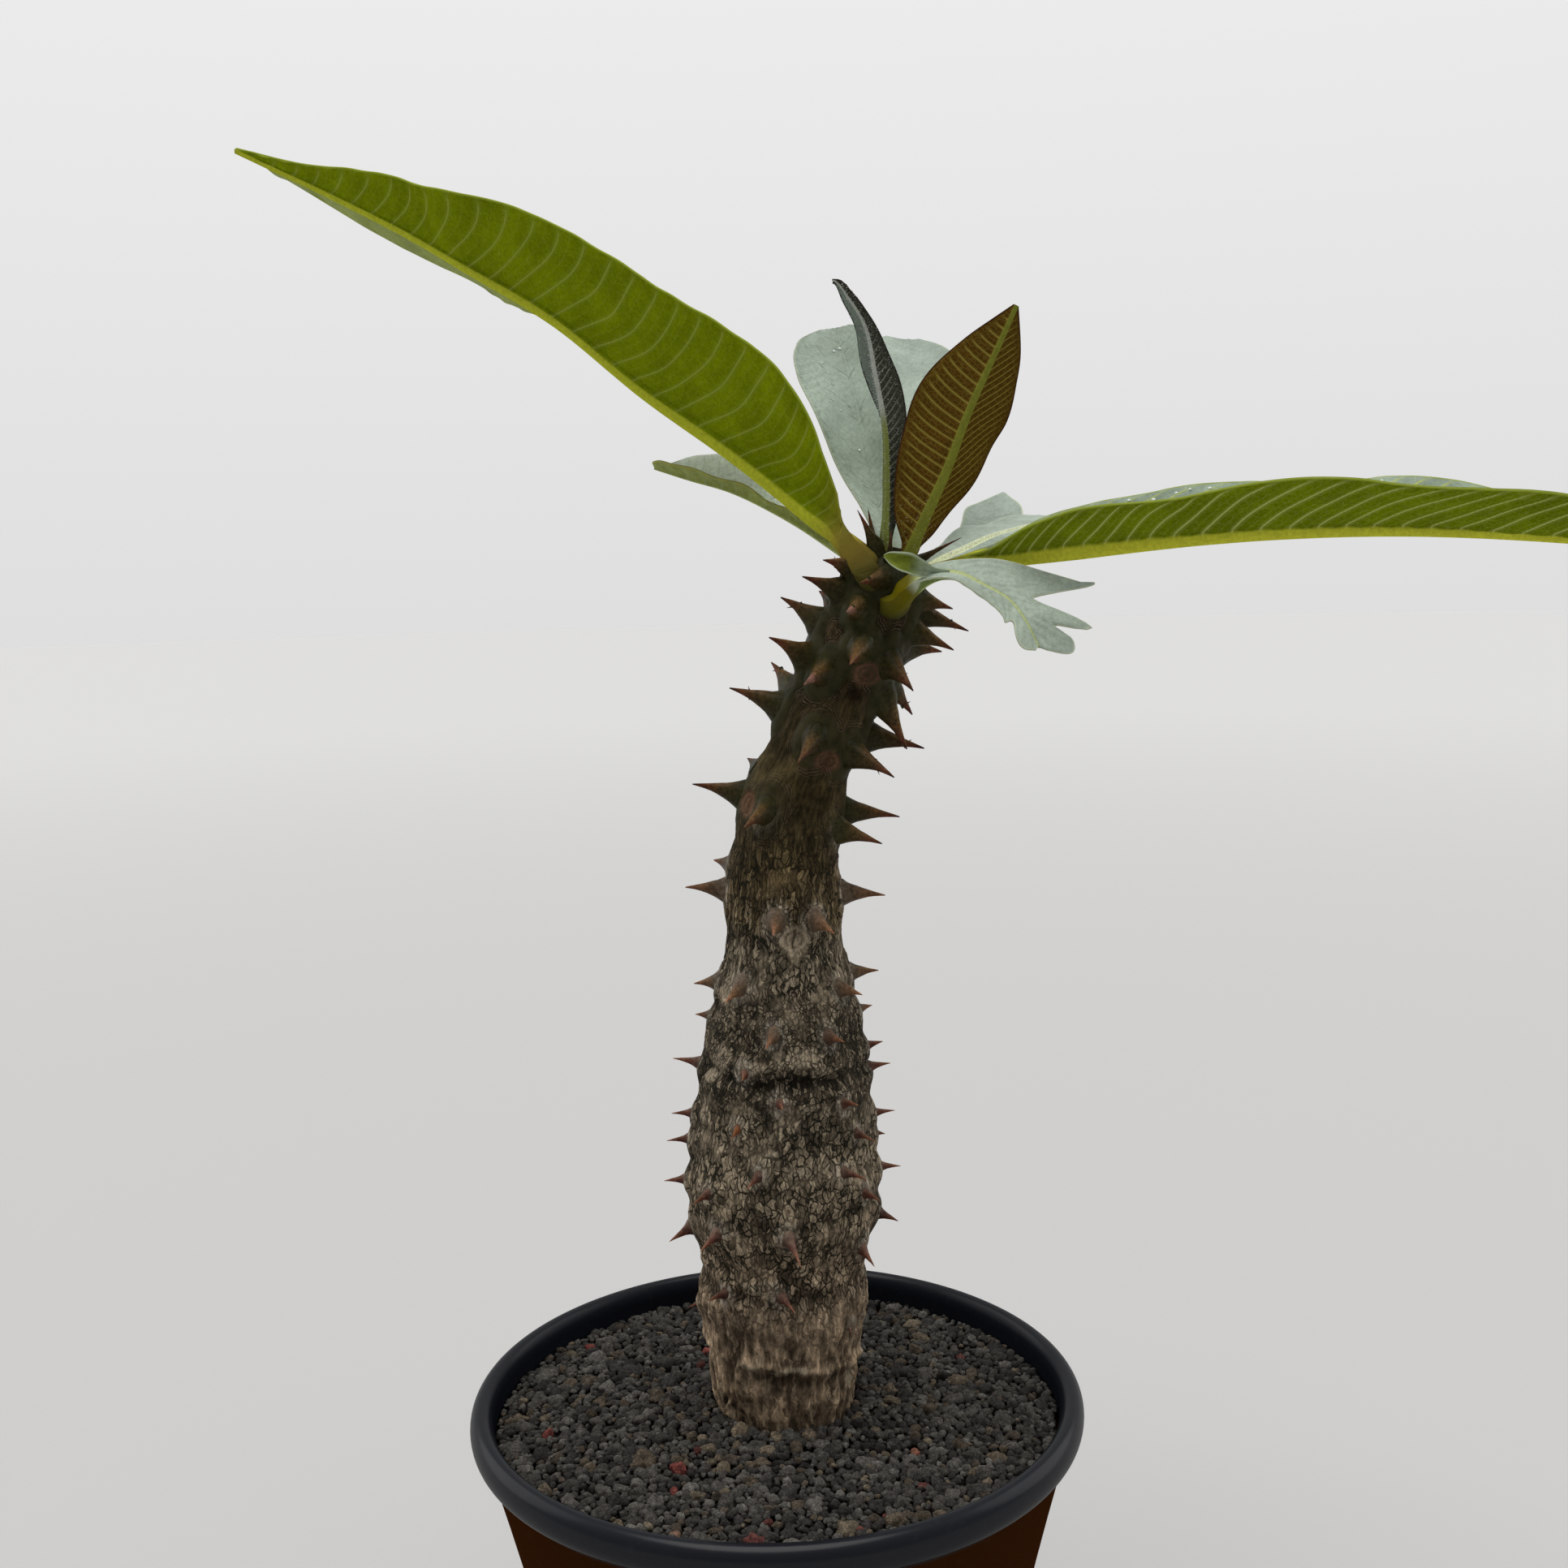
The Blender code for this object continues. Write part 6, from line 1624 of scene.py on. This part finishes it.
def make_camera():
    """The camera at the photograph's place, with its small roll."""
    camera = bpy.data.cameras.new("camera")
    camera.lens = CAMERA_LENS
    camera.sensor_width = CAMERA_SENSOR
    camera.clip_start = 0.01
    thing = new_object("camera", camera)
    tilt = Euler((math.radians(90 - CAMERA_DOWN), 0, 0)).to_matrix().to_4x4()
    roll = Matrix.Rotation(math.radians(CAMERA_ROLL), 4, "Z")
    thing.matrix_world = Matrix.Translation(CAMERA_PLACE) @ tilt @ roll
    bpy.context.scene.camera = thing


def make_stage():
    """A pale floor, painted darker near the pot and lighter far off: painted shade and painted light."""
    mesh = bpy.data.meshes.new("floor")
    turns = np.arange(FLOOR_SIDES) * 2 * math.pi / FLOOR_SIDES
    corners = [(FLOOR_RADIUS * math.cos(turn), FLOOR_RADIUS * math.sin(turn), 0.0) for turn in turns]
    mesh.from_pydata(corners, [], [range(FLOOR_SIDES)])
    n = Nodes("floor", 0.9, 0.2)
    far = n.step(n.length(n.node("NewGeometry", {}).outputs["Position"]), 0.3, 3.0)
    mesh.materials.append(n.finish(n.mix(far, FLOOR_SHADED_NEAR, FLOOR_LIT_FAR)))
    new_object("floor", mesh)


def make_sun(name, towards, strength, colour):
    """A soft lamp."""
    lamp = bpy.data.lights.new(name, "SUN")
    lamp.energy = strength
    lamp.angle = math.radians(SUN_SPREAD)
    lamp.color = colour
    thing = new_object(name, lamp)
    thing.rotation_mode = "QUATERNION"
    thing.rotation_quaternion = Vector(towards).to_track_quat("-Z", "Y")


def make_surround():
    """A pale surround, and its light, which is stronger from above and from behind the plant."""
    world = bpy.data.worlds.new("surround")
    world.use_nodes = True
    tree = world.node_tree
    shade = tree.nodes["Background"]
    shade.inputs["Color"].default_value = (*SURROUND, 1.0)
    place = tree.nodes.new("ShaderNodeTexCoord")
    path = tree.nodes.new("ShaderNodeLightPath")
    chosen = tree.nodes.new("ShaderNodeMix")
    tree.links.new(path.outputs["Is Camera Ray"], chosen.inputs[0])
    for socket, start, slope in ((2, LIGHT_LEVEL, LIGHT_SLOPE), (3, SEEN_LEVEL, SEEN_SLOPE)):
        weigh = tree.nodes.new("ShaderNodeVectorMath")
        weigh.operation = "DOT_PRODUCT"
        weigh.inputs[1].default_value = slope
        level = tree.nodes.new("ShaderNodeMath")
        level.operation = "ADD"
        level.inputs[1].default_value = start
        tree.links.new(place.outputs["Generated"], weigh.inputs[0])
        tree.links.new(weigh.outputs["Value"], level.inputs[0])
        tree.links.new(level.outputs[0], chosen.inputs[socket])
    tree.links.new(chosen.outputs[0], shade.inputs["Strength"])
    bpy.context.scene.world = world


def make_light():
    """Soft studio light, mostly from above."""
    make_surround()
    for name, sun in SUNS.items():
        make_sun(name, *sun)
    bpy.context.scene.view_settings.view_transform = "Standard"


def main():
    """Dresses the plant round its solids and sets the scene."""
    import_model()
    make_pot()
    make_bed()
    make_grains()
    axis = Axis()
    make_stem(axis, bark_material())
    make_spines(axis)
    leaves = {name: make_leaf(name, leaf) for name, leaf in LEAVES.items()}
    make_hairs(leaves)
    make_drops(leaves)
    make_flap()
    make_camera()
    make_stage()
    make_light()


main()
